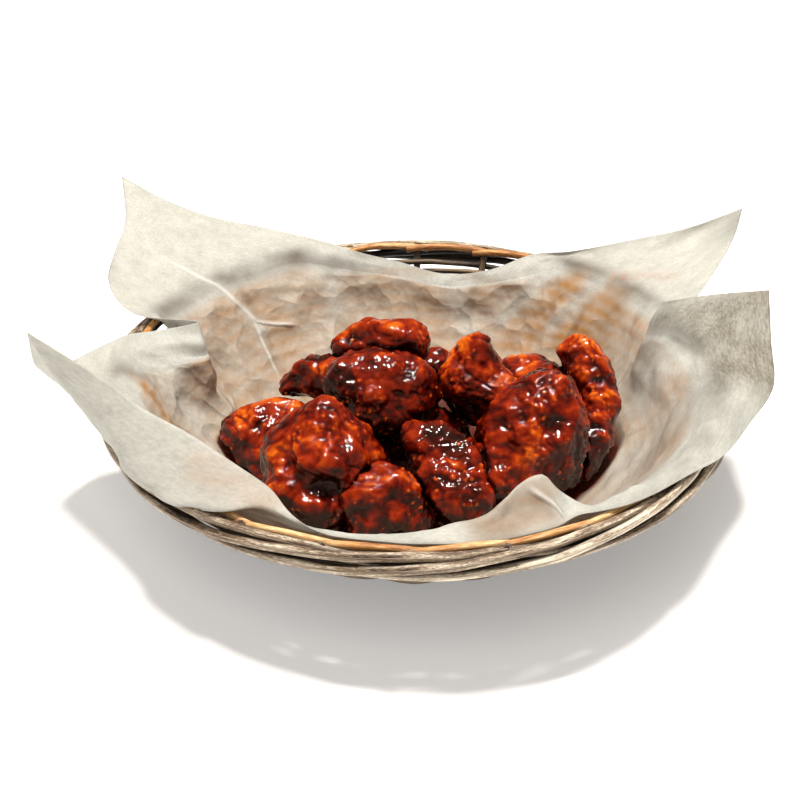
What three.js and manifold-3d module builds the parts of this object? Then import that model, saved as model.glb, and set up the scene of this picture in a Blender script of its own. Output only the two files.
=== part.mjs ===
// A serving of glazed chicken wings in a round woven basket lined with one sheet of deli paper.
// Millimetres, +Z up. The origin is on the table under the middle of the basket's base.
import * as THREE from 'three';
import { mergeVertices } from 'three/addons/utils/BufferGeometryUtils.js';
import { SimplexNoise } from 'three/addons/math/SimplexNoise.js';
import Module from 'manifold-3d';

const wasm = await Module();
wasm.setup();

// ---- Driving dimensions ----

const stakeCount = 24; // uprights of the basket, one every 15 degrees

const basket = {
  baseRadius: 58, // flat foot that stands on the table
  baseFloor: 5, // top of the woven bottom
  wallStart: [58, 3], // middle line of the wall: radius and height at the foot,
  wallBend: [82, 12], // the point its curve bends towards,
  wallEnd: [114, 46], // and its top under the border
  wallThickness: 3.4,
  weaveDepth: 0.9, // how far a weaver swings out over one stake and in behind the next
  courses: 9, // weaver courses drawn on the outside
  stakeTop: [116.2, 48.8], // a stake's end, just under the border
  columnsPerStake: 3,
  heel: 0.6, // the lowest weaver stays this far off the table
  floorSeam: 3, // the woven bottom is this much smaller inside than outside
};

const border = {
  radius: 121.8, // middle of the twisted rods round the rim
  height: 50.8,
  tall: 4.5, // half height and half width of the bundle, before its rods bulge
  wide: 2.2,
  lean: 0.17, // the bundle's top leans in by this share of its height
  rods: 4,
  turns: 3, // full turns of twist on the way round
  rodBulge: 0.11,
  columns: 56,
  sides: 10,
};

const trim = {
  radius: 117.2, // tan two-ply strand along the inner edge of the rim
  height: 54.1,
  thickness: 1.65,
  plyBulge: 0.18,
  columns: 72,
  sides: 5,
};

const liner = {
  thickness: 0.5,
  floor: 6, // upper face of the sheet where it lies on the basket's bottom
  floorRings: [26, 51],
  wallFoot: [74, 16], // radius and height of three rings up the wall
  wall: [91.5, 30],
  neck: [103.5, 46],
  lip: [112.8, 55.8], // where it bends out over the rim,
  cross: [118.5, 58.2], // and rides over it
  wideGap: 7.5, // stations farther apart than this, in degrees, get a column between them
};

const contactGap = 0.5; // left between pieces that press on each other

const batter = {
  melt: 1.6, // how softly one ball of meat runs into the next
  lumpHeight: 1.4, // coarse lumps of the coating
  lumpWidth: 9,
};

// ---- Liner stations ----
// Each row is one line up the sheet, counted anticlockwise seen from above. at is its azimuth in
// degrees. cross, mid and edge are [azimuth, radius, height]; wall, neck and lip are
// [radius, height]. The sheet's four corners, its two pleats and the hump at the front are named.

const stations = [
  { at: 242, lip: [109, 55], cross: [242, 112.5, 59],
    mid: [241.6, 110.5, 60.4], edge: [241, 104.5, 61.4] },
  { at: 247, cross: [247, 110.5, 54.6], mid: [247, 111.5, 56.2], edge: [247.4, 110, 57.4] },
  { at: 254, cross: [254, 109.5, 53.4], mid: [254, 112.3, 54.6], edge: [253.8, 114.2, 55.6] },
  { at: 264, neck: [102, 46], cross: [264, 107.5, 53.4],
    mid: [264, 111.5, 54.6], edge: [264.4, 114.5, 55.4] },
  { at: 273, neck: [101, 46], cross: [273.4, 105.5, 54.6],
    mid: [273, 110, 55], edge: [272.8, 114.5, 54.8] },
  // hump: the sheet folds up over the front rim and back down to it
  { at: 283, neck: [98, 44], cross: [284.2, 103.5, 57.6],
    mid: [284, 108, 55.4], edge: [283.5, 114.4, 54] },
  { at: 290, neck: [93, 44], cross: [292, 98, 64.2], mid: [290, 104, 57.6], edge: [288.5, 114.4, 54] },
  { at: 296, neck: [92, 44], cross: [296.7, 98, 65.6], mid: [297, 107, 59], edge: [295.5, 114.4, 54.6] },
  { at: 300, neck: [96, 43], cross: [299.8, 101.5, 59.5],
    mid: [300, 108.5, 57], edge: [299.4, 114.4, 57] },
  { at: 304, neck: [99.5, 43.5], lip: [108, 51.5], cross: [303, 111.8, 56.8],
    mid: [303, 114, 58], edge: [302.6, 116.8, 57.8] },
  { at: 309, neck: [101.5, 44.5], lip: [111, 54.6], cross: [308, 113.6, 57.8],
    mid: [307.6, 116.5, 58.2], edge: [307.2, 119.4, 57.8] },
  { at: 315, lip: [111.8, 56], cross: [314, 114.6, 58.2],
    mid: [313.4, 118, 58.4], edge: [312.8, 121.2, 58] },
  { at: 324, mid: [323.4, 121, 58.4], edge: [322.6, 123.4, 57.8] },
  { at: 334, mid: [333, 123, 58.2], edge: [331, 127.5, 56.8] },
  { at: 345, mid: [346, 126, 57.4], edge: [347, 131.5, 51.6] },
  { at: 355, mid: [356, 131, 57.4], edge: [358.6, 142, 53.5] },
  { at: 3, cross: [3, 119, 59], mid: [4, 132, 59.5], edge: [6.5, 144.5, 62] },
  { at: 9, neck: [102.5, 49], cross: [9, 117, 62.5],
    mid: [11.5, 134, 66], edge: [14.7, 150, 74.5] }, // corner
  { at: 14, neck: [101, 53], cross: [14, 110, 66], mid: [15.6, 117, 70], edge: [17.2, 124, 72.4] },
  // right pleat: its ridge, then its outer fold
  { at: 18, wall: [92.5, 34], neck: [98, 52], cross: [18.2, 101.5, 62],
    mid: [18, 104, 67], edge: [18, 106, 71] },
  { at: 22, wall: [92, 31], neck: [103, 46], cross: [22, 114, 58.8],
    mid: [22.5, 119, 61], edge: [22.5, 124, 63.4] },
  { at: 27, mid: [27, 128, 60.5], edge: [26.5, 136, 62.5] },
  { at: 33, mid: [34.5, 149, 64], edge: [36.3, 177, 68] },
  { at: 38, mid: [37.8, 152, 68], edge: [37.4, 184, 78.2] }, // corner
  { at: 44, mid: [42, 137, 66], edge: [39.5, 156, 74] },
  { at: 50, mid: [48, 127, 62.5], edge: [45.5, 137, 68.6] },
  { at: 57, mid: [56.5, 121, 59.6], edge: [56, 121, 61] },
  { at: 63, neck: [101.5, 46], lip: [105, 51.5], cross: [63, 108.5, 55.5],
    mid: [63, 112.3, 57.4], edge: [62.6, 114.6, 59] },
  { at: 72, neck: [98.5, 45], cross: [72, 102.5, 49.4], mid: [72, 103.5, 50.6], edge: [71.8, 104.6, 52] },
  { at: 83, neck: [96.5, 43], cross: [83, 99.5, 46.2], mid: [83, 100.8, 47.4], edge: [83, 102, 48.7] },
  { at: 94, neck: [100.5, 45], cross: [94, 104, 48.6], mid: [94, 105.5, 50.2], edge: [94.3, 107, 51.8] },
  { at: 103, neck: [102.5, 46], cross: [103, 107, 51.6],
    mid: [103, 108.6, 53.6], edge: [103, 110, 55.8] },
  { at: 111, lip: [107.5, 52.5], cross: [111, 111.6, 57.4],
    mid: [111, 115, 59], edge: [110.6, 118, 59.6] },
  { at: 119, mid: [120, 127, 60.4], edge: [121.5, 137, 64] },
  { at: 126, mid: [127.3, 134.5, 62.5], edge: [128.3, 152, 67.5] },
  { at: 133, mid: [133.4, 144, 66.5], edge: [133.9, 168, 75.6] },
  { at: 139, mid: [138.3, 152, 70], edge: [137.2, 184, 84.8] }, // corner
  { at: 146, mid: [144.2, 144, 65], edge: [142, 166, 73] },
  { at: 152, mid: [150, 138, 61.5], edge: [148.6, 155, 68] },
  { at: 156, mid: [154, 134, 59.2], edge: [152.6, 151, 60.6] },
  // left pleat: its outer fold, then its ridge
  { at: 160, wall: [91, 30], neck: [102, 46], cross: [160, 115, 58.8],
    mid: [161, 119.5, 59.3], edge: [161.6, 124, 59.6] },
  { at: 165, wall: [85.5, 30], neck: [87.5, 46], cross: [164.6, 90.5, 54.5],
    mid: [162.8, 92.5, 58], edge: [161.8, 94.5, 61.5] },
  { at: 169.5, wall: [88.5, 30], neck: [94.5, 46], cross: [168.5, 102, 56],
    mid: [167, 106.5, 58], edge: [166.4, 110.5, 59] },
  { at: 176, neck: [102, 46], cross: [175, 117, 58.6],
    mid: [172.5, 118.5, 59.4], edge: [170, 119.5, 60] },
  { at: 183, cross: [182, 120, 58.2], mid: [179, 124, 59], edge: [175.6, 127, 60.6] },
  { at: 189, lip: [112.6, 56.6], cross: [188, 121.5, 58.4],
    mid: [183, 129.5, 57.8], edge: [178.5, 137.5, 57] },
  { at: 194, lip: [112.8, 57.2], cross: [193, 124.5, 57.6],
    mid: [188.4, 137, 59], edge: [184.6, 147.5, 61.8] },
  { at: 201, lip: [112.8, 57.4], cross: [201, 125, 57.6],
    mid: [193.6, 139, 69], edge: [187.4, 149, 82.5] }, // corner
  { at: 209, lip: [112.8, 57.4], cross: [209, 126.8, 57.2],
    mid: [206, 128.5, 66.5], edge: [202.4, 124.5, 79.2] },
  { at: 218, lip: [112.8, 57.4], cross: [218, 128.4, 56.8],
    mid: [216.5, 127, 64], edge: [213.6, 117, 77] },
  { at: 228, lip: [112.8, 57.4], cross: [228, 127.6, 56.8],
    mid: [226.6, 123.5, 62.6], edge: [224, 110.5, 74] },
  { at: 236.5, lip: [112, 57.4], cross: [236.5, 121, 58],
    mid: [236, 117.5, 61], edge: [234.8, 106.8, 67.6] },
];

// ---- Wings ----
// Each wing grows round a few balls of meat, [x, y, z, radius]. A wing is trimmed where the ones
// above it in this list press on it.

const wings = [
  { name: 'wing_front_left', seed: 3, detail: 4, balls: [
    [-36, -30, 50, 11], [-25, -32, 43, 10], [-48, -32, 38, 13], [-33, -38, 36, 17],
    [-18, -33, 33, 9], [-48, -44, 28, 12], [-37, -48, 24, 13], [-40, -38, 18, 12],
  ] },
  { name: 'wing_front_middle', seed: 8, detail: 3, balls: [
    [-24, -46, 29, 13], [-11, -47, 27, 14], [-2, -48, 20, 11], [-16, -50, 19, 12],
    [-14, -42, 17, 12],
  ] },
  { name: 'wing_right', seed: 5, detail: 4, balls: [
    [52, -10, 50, 13], [41, -14, 45, 13], [55, -18, 40, 14], [45, -20, 34, 16],
    [33, -18, 37, 11], [33, -30, 26, 12], [42, -28, 21, 12], [56, -20, 27, 12],
  ] },
  { name: 'wing_drumette', seed: 7, detail: 4, balls: [
    [-1, -22, 40, 7], [9, -26, 36, 11], [19, -30, 31, 12], [10, -36, 26, 13],
    [20, -42, 24, 12], [3, -34, 18, 12], [14, -38, 16, 12],
  ] },
  { name: 'wing_middle', seed: 4, detail: 3, balls: [
    [-27, 2, 50, 12], [-15, 5, 50, 13], [-3, 4, 48, 12], [-18, -4, 43, 13],
    [-5, -2, 39, 12], [3, 3, 41, 8], [-14, 6, 36, 12],
  ] },
  { name: 'wing_left', seed: 9, detail: 3, balls: [
    [-72, 4, 23, 10], [-62, 6, 25, 12], [-52, 8, 28, 10], [-68, 0, 17, 11],
    [-57, -2, 18, 13], [-58, -10, 13, 10],
  ] },
  { name: 'wing_top', seed: 6, detail: 3, balls: [
    [-30, 22, 55, 7], [-22, 24, 57, 8], [-12, 24, 57, 9], [-4, 22, 57, 10],
  ] },
  { name: 'wing_far_right', seed: 2, detail: 3, balls: [
    [67, 20, 51, 11], [73, 14, 46, 10], [74, 4, 37, 10], [70, -6, 30, 10],
    [66, -14, 23, 9], [63, -12, 16, 10],
  ] },
  { name: 'wing_knuckle', seed: 12, detail: 3, balls: [
    [25, 18, 56, 8], [19, 20, 54, 5], [20, 14, 44, 12], [29, 12, 43, 11],
    [35, 6, 41, 9], [24, 22, 30, 12],
  ] },
  { name: 'wing_back_left', seed: 13, detail: 3, balls: [
    [-53, 20, 37, 5], [-46, 20, 41, 8], [-37, 18, 43, 10], [-29, 14, 42, 11],
  ] },
  { name: 'wing_back_right', seed: 10, detail: 3, balls: [
    [40, 24, 38, 10], [49, 24, 40, 10], [57, 18, 40, 10], [47, 22, 28, 13],
    [52, 24, 19, 12],
  ] },
  { name: 'wing_behind', seed: 14, detail: 3, balls: [
    [6, 30, 46, 6], [12, 30, 38, 9], [-1, 34, 35, 12], [-15, 40, 32, 12],
    [-28, 38, 30, 11], [-8, 40, 20, 13], [-30, 38, 19, 12],
  ] },
  { name: 'wing_low', seed: 15, detail: 2, balls: [
    [-5, -30, 16, 10], [-2, -38, 17, 9], [6, -26, 14, 9], [-10, -22, 15, 9],
  ] },
  { name: 'wing_underneath', seed: 11, detail: 2, balls: [
    [9, 4, 30, 8], [2, 6, 24, 11], [-9, 8, 22, 12], [-24, 4, 20, 13],
    [14, 8, 18, 12],
  ] },
];

// ---- Geometry helpers ----

const radians = THREE.MathUtils.degToRad;

// A point from azimuth in degrees, radius and height.
function polar([azimuth, radius, height]) {
  return new THREE.Vector3(radius * Math.cos(radians(azimuth)), radius * Math.sin(radians(azimuth)), height);
}

// Merges shared vertices, drops faces that a pole has closed up, and turns the faces outwards.
function closed(geometry) {
  geometry.deleteAttribute('normal');
  geometry.deleteAttribute('uv');
  const merged = mergeVertices(geometry, 1e-4);
  const index = merged.index.array;
  const position = merged.attributes.position;
  const [a, b, c] = [new THREE.Vector3(), new THREE.Vector3(), new THREE.Vector3()];
  const faces = [];
  let volume = 0;
  for (let i = 0; i < index.length; i += 3) {
    const face = [index[i], index[i + 1], index[i + 2]];
    if (new Set(face).size < 3) continue;
    faces.push(face);
    [a, b, c].forEach((corner, k) => corner.fromBufferAttribute(position, face[k]));
    volume += a.dot(b.cross(c)) / 6;
  }
  if (volume < 0) faces.forEach((face) => face.reverse());
  merged.setIndex(faces.flat());
  return merged;
}

// A lathed grid of rows by columns whose every vertex is placed by place(row, column).
function placedGrid(rows, columns, place) {
  const dummy = Array.from({ length: rows }, (_, row) => new THREE.Vector2(row + 1, row));
  const geometry = new THREE.LatheGeometry(dummy, columns);
  const position = geometry.attributes.position;
  for (let column = 0; column <= columns; column += 1) {
    for (let row = 0; row < rows; row += 1) {
      const point = place(row, column % columns);
      position.setXYZ(column * rows + row, point.x, point.y, point.z);
    }
  }
  return closed(geometry);
}

function toManifold(geometry) {
  return new wasm.Manifold(new wasm.Mesh({
    numProp: 3,
    vertProperties: Float32Array.from(geometry.attributes.position.array),
    triVerts: Uint32Array.from(geometry.index.array),
  }));
}

function fromManifold(manifold) {
  const mesh = manifold.getMesh();
  const geometry = new THREE.BufferGeometry();
  geometry.setAttribute('position', new THREE.BufferAttribute(mesh.vertProperties, 3));
  geometry.setIndex(new THREE.BufferAttribute(mesh.triVerts, 1));
  return geometry;
}

function seededRandom(seed) {
  let state = seed >>> 0;
  return () => {
    state = (Math.imul(state, 1664525) + 1013904223) >>> 0;
    return state / 2 ** 32;
  };
}

// ---- Basket ----

// The wall's middle line: radius and height at a share of the way up.
function wallLine(share) {
  const [start, bend, end] = [basket.wallStart, basket.wallBend, basket.wallEnd];
  return start.map((value, k) => (1 - share) ** 2 * value
    + 2 * share * (1 - share) * bend[k] + share ** 2 * end[k]);
}

// Both faces of the wall follow a weaver as it passes in front of one stake and behind the next.
function weaveSwing(course, column) {
  const phase = (Math.PI * column) / basket.columnsPerStake + Math.PI * course;
  return basket.weaveDepth * Math.cos(phase);
}

function wovenBody() {
  const { courses, wallThickness, baseFloor, baseRadius, stakeTop, columnsPerStake, heel } = basket;
  const columns = stakeCount * columnsPerStake;
  const innerCourses = [courses, 6, 3];
  const rows = [() => [0, 0], () => [baseRadius, 0]];
  const wallRow = (course, side) => (column) => {
    const [radius, height] = wallLine(course / courses);
    const [aheadRadius, aheadHeight] = wallLine(course / courses + 0.01);
    const slope = Math.atan2(aheadHeight - height, aheadRadius - radius);
    const reach = side * (wallThickness / 2) + (course < courses ? weaveSwing(course, column) : 0);
    return [radius + reach * Math.sin(slope), Math.max(height - reach * Math.cos(slope), heel)];
  };
  for (let course = 1; course <= courses; course += 1) rows.push(wallRow(course, 1));
  // The stakes stand above the last course as short ends under the border.
  rows.push((column) => {
    const [radius, height] = wallLine(1);
    return column % columnsPerStake === 0 ? stakeTop : [radius, height + 1];
  });
  innerCourses.forEach((course) => rows.push(wallRow(course, -1)));
  rows.push(() => [baseRadius - basket.floorSeam, baseFloor], () => [0, baseFloor]);
  return placedGrid(rows.length, columns, (row, column) => {
    const [radius, height] = rows[row](column);
    return polar([(360 * column) / columns, radius, height]);
  });
}

// A ring swept round the basket. Its section has so many plies, which twist as it goes round.
function twistedRing({ radius, height, tall, wide, lean = 0, plies, turns, bulge, columns, sides }) {
  const rows = sides + 1;
  return placedGrid(rows, columns, (row, column) => {
    const around = (2 * Math.PI * column) / columns;
    const angle = (2 * Math.PI * (row % sides)) / sides;
    const swell = 1 + bulge * Math.cos(plies * (angle - turns * around));
    const up = tall * swell * Math.sin(angle);
    const out = wide * swell * Math.cos(angle) - lean * up;
    return polar([(360 * column) / columns, radius + out, height + up]);
  });
}

const borderRing = () => twistedRing({ ...border, plies: border.rods, bulge: border.rodBulge });

const trimRing = () => twistedRing({ ...trim, tall: trim.thickness, wide: trim.thickness, plies: 2,
  turns: stakeCount / 2, bulge: trim.plyBulge });

// ---- Liner ----

// The points one station's line passes through, from the middle of the sheet to its free edge.
function stationControls({ at, wall = liner.wall, neck = liner.neck, lip, cross, mid, edge }) {
  const overRim = cross ?? [at, ...liner.cross];
  const neckPoint = polar([at, ...neck]);
  const crossPoint = polar(overRim);
  const climbsOver = overRim[1] > liner.lip[0];
  const bend = lip ?? (climbsOver ? liner.lip : null);
  const lipPoint = bend ? polar([at, ...bend]) : neckPoint.clone().lerp(crossPoint, 0.5);
  return [
    new THREE.Vector3(0, 0, liner.floor),
    ...liner.floorRings.map((radius) => polar([at, radius, liner.floor])),
    polar([at, ...liner.wallFoot]),
    polar([at, ...wall]),
    neckPoint,
    lipPoint,
    crossPoint,
    polar(mid),
    polar(edge),
  ];
}

// Station numbers, counted from 0 round the sheet, at which its columns stand.
function linerColumns() {
  return stations.flatMap(({ at }, k) => {
    const gap = (stations[(k + 1) % stations.length].at - at + 360) % 360;
    return gap > liner.wideGap ? [k, k + 0.5] : [k];
  });
}

// Rings of the sheet as closed curves through every station, with one ring between two controls
// where the sheet bends.
function linerRings() {
  const lines = stations.map((station) => stationControls(station));
  const controlCount = lines[0].length;
  const smooth = lines.map((line) => new THREE.CatmullRomCurve3(line, false, 'centripetal'));
  const steps = [0, 1, 2, 3, 4, 5, 6, 6.5, 7, 7.5, 8, 9];
  return steps.map((step) => {
    const through = smooth.map((curve) => curve.getPoint(step / (controlCount - 1)));
    const ring = new THREE.CatmullRomCurve3(through, true, 'centripetal');
    return linerColumns().map((place) => ring.getPoint(place / stations.length));
  });
}

// The sheet as a thin solid: its upper face, and the same face set down along the sheet's normal.
function paperSheet() {
  const rings = linerRings();
  const columns = rings[0].length;
  const count = rings.length;
  const underside = rings.map((ring, level) => ring.map((point, column) => {
    const inward = rings[Math.max(level - 1, 0)][column];
    const outward = rings[Math.min(level + 1, count - 1)][column];
    const before = ring[(column + columns - 1) % columns];
    const after = ring[(column + 1) % columns];
    const along = outward.clone().sub(inward);
    const normal = along.cross(after.clone().sub(before));
    if (level === 0) normal.set(0, 0, 1);
    return point.clone().addScaledVector(normal.normalize(), -liner.thickness);
  }));
  return placedGrid(2 * count, columns, (row, column) => (
    row < count ? rings[row][column] : underside[2 * count - 1 - row][column]));
}

// The space inside the liner that the food may fill.
function linerInside() {
  const { floor, floorRings, wallFoot, wall, neck } = liner;
  const inset = 2.5;
  const profile = [
    [0, floor + contactGap],
    [floorRings[1] - inset, floor + contactGap],
    [wallFoot[0] - inset, wallFoot[1] + 1],
    [wall[0] - inset, wall[1] + 1],
    [neck[0] - inset, neck[1] + 1],
    [neck[0], 90],
    [0, 90],
  ].map(([radius, height]) => new THREE.Vector2(radius, height));
  const geometry = new THREE.LatheGeometry(profile, 48);
  geometry.rotateX(Math.PI / 2);
  return toManifold(closed(geometry));
}

// ---- Wings ----

// Distance from a point to balls that melt into each other; below zero is inside.
function meltedDistance(point, balls) {
  let sum = 0;
  balls.forEach(([x, y, z, radius]) => {
    sum += Math.exp((radius - Math.hypot(point.x - x, point.y - y, point.z - z)) / batter.melt);
  });
  return -batter.melt * Math.log(sum);
}

// Seen from its middle, a wing's skin is as far out as the melted balls reach, with batter lumps.
function wingGeometry({ balls, seed, detail }, grow) {
  const noise = new SimplexNoise({ random: seededRandom(seed) });
  const weight = balls.reduce((sum, [, , , radius]) => sum + radius ** 3, 0);
  const middle = new THREE.Vector3();
  balls.forEach(([x, y, z, radius]) => {
    middle.addScaledVector(new THREE.Vector3(x, y, z), radius ** 3 / weight);
  });
  const geometry = new THREE.IcosahedronGeometry(1, detail);
  const position = geometry.attributes.position;
  const direction = new THREE.Vector3();
  const point = new THREE.Vector3();
  const farthest = 60;
  const stride = 0.5;
  for (let i = 0; i < position.count; i += 1) {
    direction.fromBufferAttribute(position, i).normalize();
    let reach = farthest;
    while (reach > 2 && meltedDistance(point.copy(middle).addScaledVector(direction, reach), balls) > 0) {
      reach -= stride;
    }
    point.divideScalar(batter.lumpWidth);
    const lump = batter.lumpHeight * noise.noise3d(point.x, point.y, point.z);
    point.copy(middle).addScaledVector(direction, reach + lump + grow);
    position.setXYZ(i, point.x, point.y, point.z);
  }
  return closed(geometry);
}

// The wings in the order they are trimmed, each clear of the ones before it and of the liner.
function trimmedWings() {
  const inside = linerInside();
  const placed = [];
  return wings.map((wing) => {
    let solid = toManifold(wingGeometry(wing, 0)).intersect(inside);
    placed.forEach((earlier) => {
      solid = solid.subtract(earlier);
    });
    placed.push(toManifold(wingGeometry(wing, contactGap)));
    return { name: wing.name, geometry: fromManifold(solid) };
  });
}

// ---- Assembly ----

const finishes = {
  weatheredWillow: { color: 0x96856f, roughness: 0.8, metalness: 0 },
  greyRod: { color: 0x9a8a78, roughness: 0.75, metalness: 0 },
  tanRod: { color: 0xc08a50, roughness: 0.6, metalness: 0 },
  deliPaper: { color: 0xe3e3d6, roughness: 0.7, metalness: 0 },
  glazedWing: { color: 0x7c2408, roughness: 0.25, metalness: 0 },
};

const serving = new THREE.Group();

function add(name, geometry, finish) {
  const mesh = new THREE.Mesh(geometry, new THREE.MeshStandardMaterial(finishes[finish]));
  mesh.name = name;
  serving.add(mesh);
}

add('basket_body', wovenBody(), 'weatheredWillow');
add('basket_border', borderRing(), 'greyRod');
add('basket_trim', trimRing(), 'tanRod');
add('paper_liner', paperSheet(), 'deliPaper');
trimmedWings().forEach(({ name, geometry }) => add(name, geometry, 'glazedWing'));

export default serving;
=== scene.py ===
import math
from functools import partial

import bmesh
import bpy
import numpy as np
from mathutils import Matrix, Vector


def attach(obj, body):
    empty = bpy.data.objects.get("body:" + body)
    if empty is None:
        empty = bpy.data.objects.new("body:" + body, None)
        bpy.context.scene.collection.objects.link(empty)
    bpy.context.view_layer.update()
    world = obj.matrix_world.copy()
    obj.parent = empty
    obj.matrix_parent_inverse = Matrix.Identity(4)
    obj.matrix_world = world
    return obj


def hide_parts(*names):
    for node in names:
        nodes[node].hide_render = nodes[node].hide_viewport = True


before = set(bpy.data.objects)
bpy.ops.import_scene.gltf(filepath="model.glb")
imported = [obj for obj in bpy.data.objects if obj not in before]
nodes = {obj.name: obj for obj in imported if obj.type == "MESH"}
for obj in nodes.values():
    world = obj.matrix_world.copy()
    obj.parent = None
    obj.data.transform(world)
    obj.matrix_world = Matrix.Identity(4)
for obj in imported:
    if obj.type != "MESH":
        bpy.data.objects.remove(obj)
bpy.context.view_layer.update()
mm = 0.001
print("frame loaded:", len(nodes), "nodes")


# Helpers

def linear(colour):
    # sRGB hex to the linear numbers that a shader takes
    parts = [int(colour[i:i + 2], 16) / 255 for i in (1, 3, 5)]
    parts = [c / 12.92 if c <= 0.04045 else ((c + 0.055) / 1.055) ** 2.4 for c in parts]
    return (*parts, 1.0)


def fill(tree, node, inputs):
    # an input takes a value or a link, from an output or from a node's first output in use
    for name, value in inputs.items():
        if isinstance(value, bpy.types.Node):
            value = next(output for output in value.outputs if output.enabled)
        if isinstance(value, bpy.types.NodeSocket):
            tree.links.new(value, node.inputs[name])
        else:
            node.inputs[name].default_value = value


def addNode(tree, kind, inputs=None, stops=None, **settings):
    # stops are a ramp's colours, its two ends first
    node = tree.nodes.new(kind)
    for name, value in settings.items():
        setattr(node, name, value)
    fill(tree, node, inputs or {})
    for number, (place, colour) in enumerate(stops or []):
        elements = node.color_ramp.elements
        element = elements[number] if number < 2 else elements.new(place)
        element.position = place
        element.color = linear(colour)
    return node


def newMaterial(name):
    material = bpy.data.materials.new(name)
    material.use_nodes = True
    return material, material.node_tree, material.node_tree.nodes["Principled BSDF"]


def newTree(name, inputs):
    # a Geometry Nodes tree with named inputs: {name: (socket type, value)}
    tree = bpy.data.node_groups.new(name, "GeometryNodeTree")
    for way in ("INPUT", "OUTPUT"):
        tree.interface.new_socket("Geometry", in_out=way, socket_type="NodeSocketGeometry")
    for label, (kind, value) in inputs.items():
        socket = tree.interface.new_socket(label, in_out="INPUT", socket_type=kind)
        if value is not None:
            socket.default_value = value
    return tree, tree.nodes.new("NodeGroupInput").outputs, tree.nodes.new("NodeGroupOutput")


def endTree(tree, geometry, material, result):
    # what a tree that makes a surface ends with
    add = partial(addNode, tree)
    smooth = add("GeometryNodeSetShadeSmooth", {"Geometry": geometry})
    real = add("GeometryNodeRealizeInstances", {"Geometry": smooth})
    coated = add("GeometryNodeSetMaterial", {"Geometry": real, "Material": material})
    fill(tree, result, {"Geometry": coated})
    return tree


def newPiece(name, data):
    piece = bpy.data.objects.new(name, data)
    bpy.context.scene.collection.objects.link(piece)
    return piece


def settle(piece):
    # turns what the modifiers make into the piece's own plain mesh
    bpy.context.view_layer.update()
    made = bpy.data.meshes.new_from_object(piece.evaluated_get(bpy.context.evaluated_depsgraph_get()))
    piece.modifiers.clear()
    piece.data = made
    made.name = piece.name
    return piece


def addTree(piece, tree, values):
    modifier = piece.modifiers.new(tree.name, "NODES")
    modifier.node_group = tree
    for item in tree.interface.items_tree:
        if item.item_type == "SOCKET" and item.in_out == "INPUT" and item.name in values:
            modifier[item.identifier] = values[item.name]


def polar(azimuth, radius, height):
    turn = np.radians(azimuth)
    return np.stack(np.broadcast_arrays(radius * np.cos(turn), radius * np.sin(turn), height), axis=-1)


def ramp(value, start, width):
    # 0 before the start, 1 after the width; a minus width runs the other way
    return np.clip((value - start) / width, 0, 1)


# Camera and light

camera = {
    "aim": (0, 0, 50),  # the point that it looks at
    "elevation": 30.5,
    "distance": 650,
    "roll": 0.6,
    "sensor": 36,
    "lens": 73.17,
    "shift": (-0.02025, -0.0195),
}
lights = [
    # name, place, size, watts, colour, whether glossy things mirror it
    ("key", (380, 300, 2050), 260, 38, "#fffaf4", True),
    ("glints", (-260, -60, 2000), 150, 20, "#fffaf4", True),
    ("canopy", (260, 220, 2060), 850, 4, "#fffaf4", False),
    ("front", (-500, -1500, 1900), 1600, 15, "#ffffff", False),
]
stage = {
    "floor": ("#fdfdfc", "#fbfbfa"),
    "floorGlow": 0.3,
    "floorWidth": 6000,
    "floorDrop": 0.2,  # below the basket's foot
    "world": "#ffecd8",
    "worldStrength": 0.2,
}


def placeCamera():
    data = bpy.data.cameras.new("camera")
    data.sensor_width = camera["sensor"]
    data.lens = camera["lens"]
    data.shift_x, data.shift_y = camera["shift"]
    data.clip_start, data.clip_end = 0.01, 50
    eye = newPiece("camera", data)
    tilt = math.radians(camera["elevation"])
    back = Vector((0, -math.cos(tilt), math.sin(tilt)))
    eye.location = (Vector(camera["aim"]) + back * camera["distance"]) * mm
    roll = Matrix.Rotation(math.radians(camera["roll"]), 3, "Z")
    eye.rotation_euler = ((-back).to_track_quat("-Z", "Y").to_matrix() @ roll).to_euler()
    bpy.context.scene.camera = eye


def placeLights():
    for name, place, size, watts, colour, mirrored in lights:
        data = bpy.data.lights.new(name, "AREA")
        data.shape = "DISK"
        data.size = size * mm
        data.energy = watts
        data.color = linear(colour)[:3]
        lamp = newPiece(name, data)
        lamp.visible_glossy = mirrored
        lamp.location = Vector(place) * mm
        towards = Vector(camera["aim"]) * mm - lamp.location
        lamp.rotation_euler = towards.to_track_quat("-Z", "Y").to_euler()
    world = bpy.data.worlds.new("studio")
    bpy.context.scene.world = world
    world.use_nodes = True
    fill(world.node_tree, world.node_tree.nodes["Background"],
         {"Color": linear(stage["world"]), "Strength": stage["worldStrength"]})


def layFloor():
    half = stage["floorWidth"] / 2 * mm
    mesh = bpy.data.meshes.new("floor")
    corners = [(x * half, y * half, 0) for x, y in ((-1, -1), (1, -1), (1, 1), (-1, 1))]
    mesh.from_pydata(corners, [], [(0, 1, 2, 3)])
    floor = newPiece("floor", mesh)
    floor.location.z = -stage["floorDrop"] * mm
    material, tree, shader = newMaterial("paintedBoard")  # matt white paint
    add = partial(addNode, tree)
    place = add("ShaderNodeTexCoord").outputs["Object"]
    mottle = add("ShaderNodeTexNoise", {"Vector": place, "Scale": 3})
    tone = add("ShaderNodeValToRGB", {"Fac": mottle}, stops=list(enumerate(stage["floor"])))
    fill(tree, shader, {"Base Color": tone, "Roughness": 0.9, "Emission Color": (1, 1, 1, 1),
                        "Emission Strength": stage["floorGlow"]})
    mesh.materials.append(material)


bpy.context.scene.view_settings.view_transform = "Standard"
placeCamera()
placeLights()
layFloor()
print("camera, lights and floor placed")


# Basket

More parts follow.
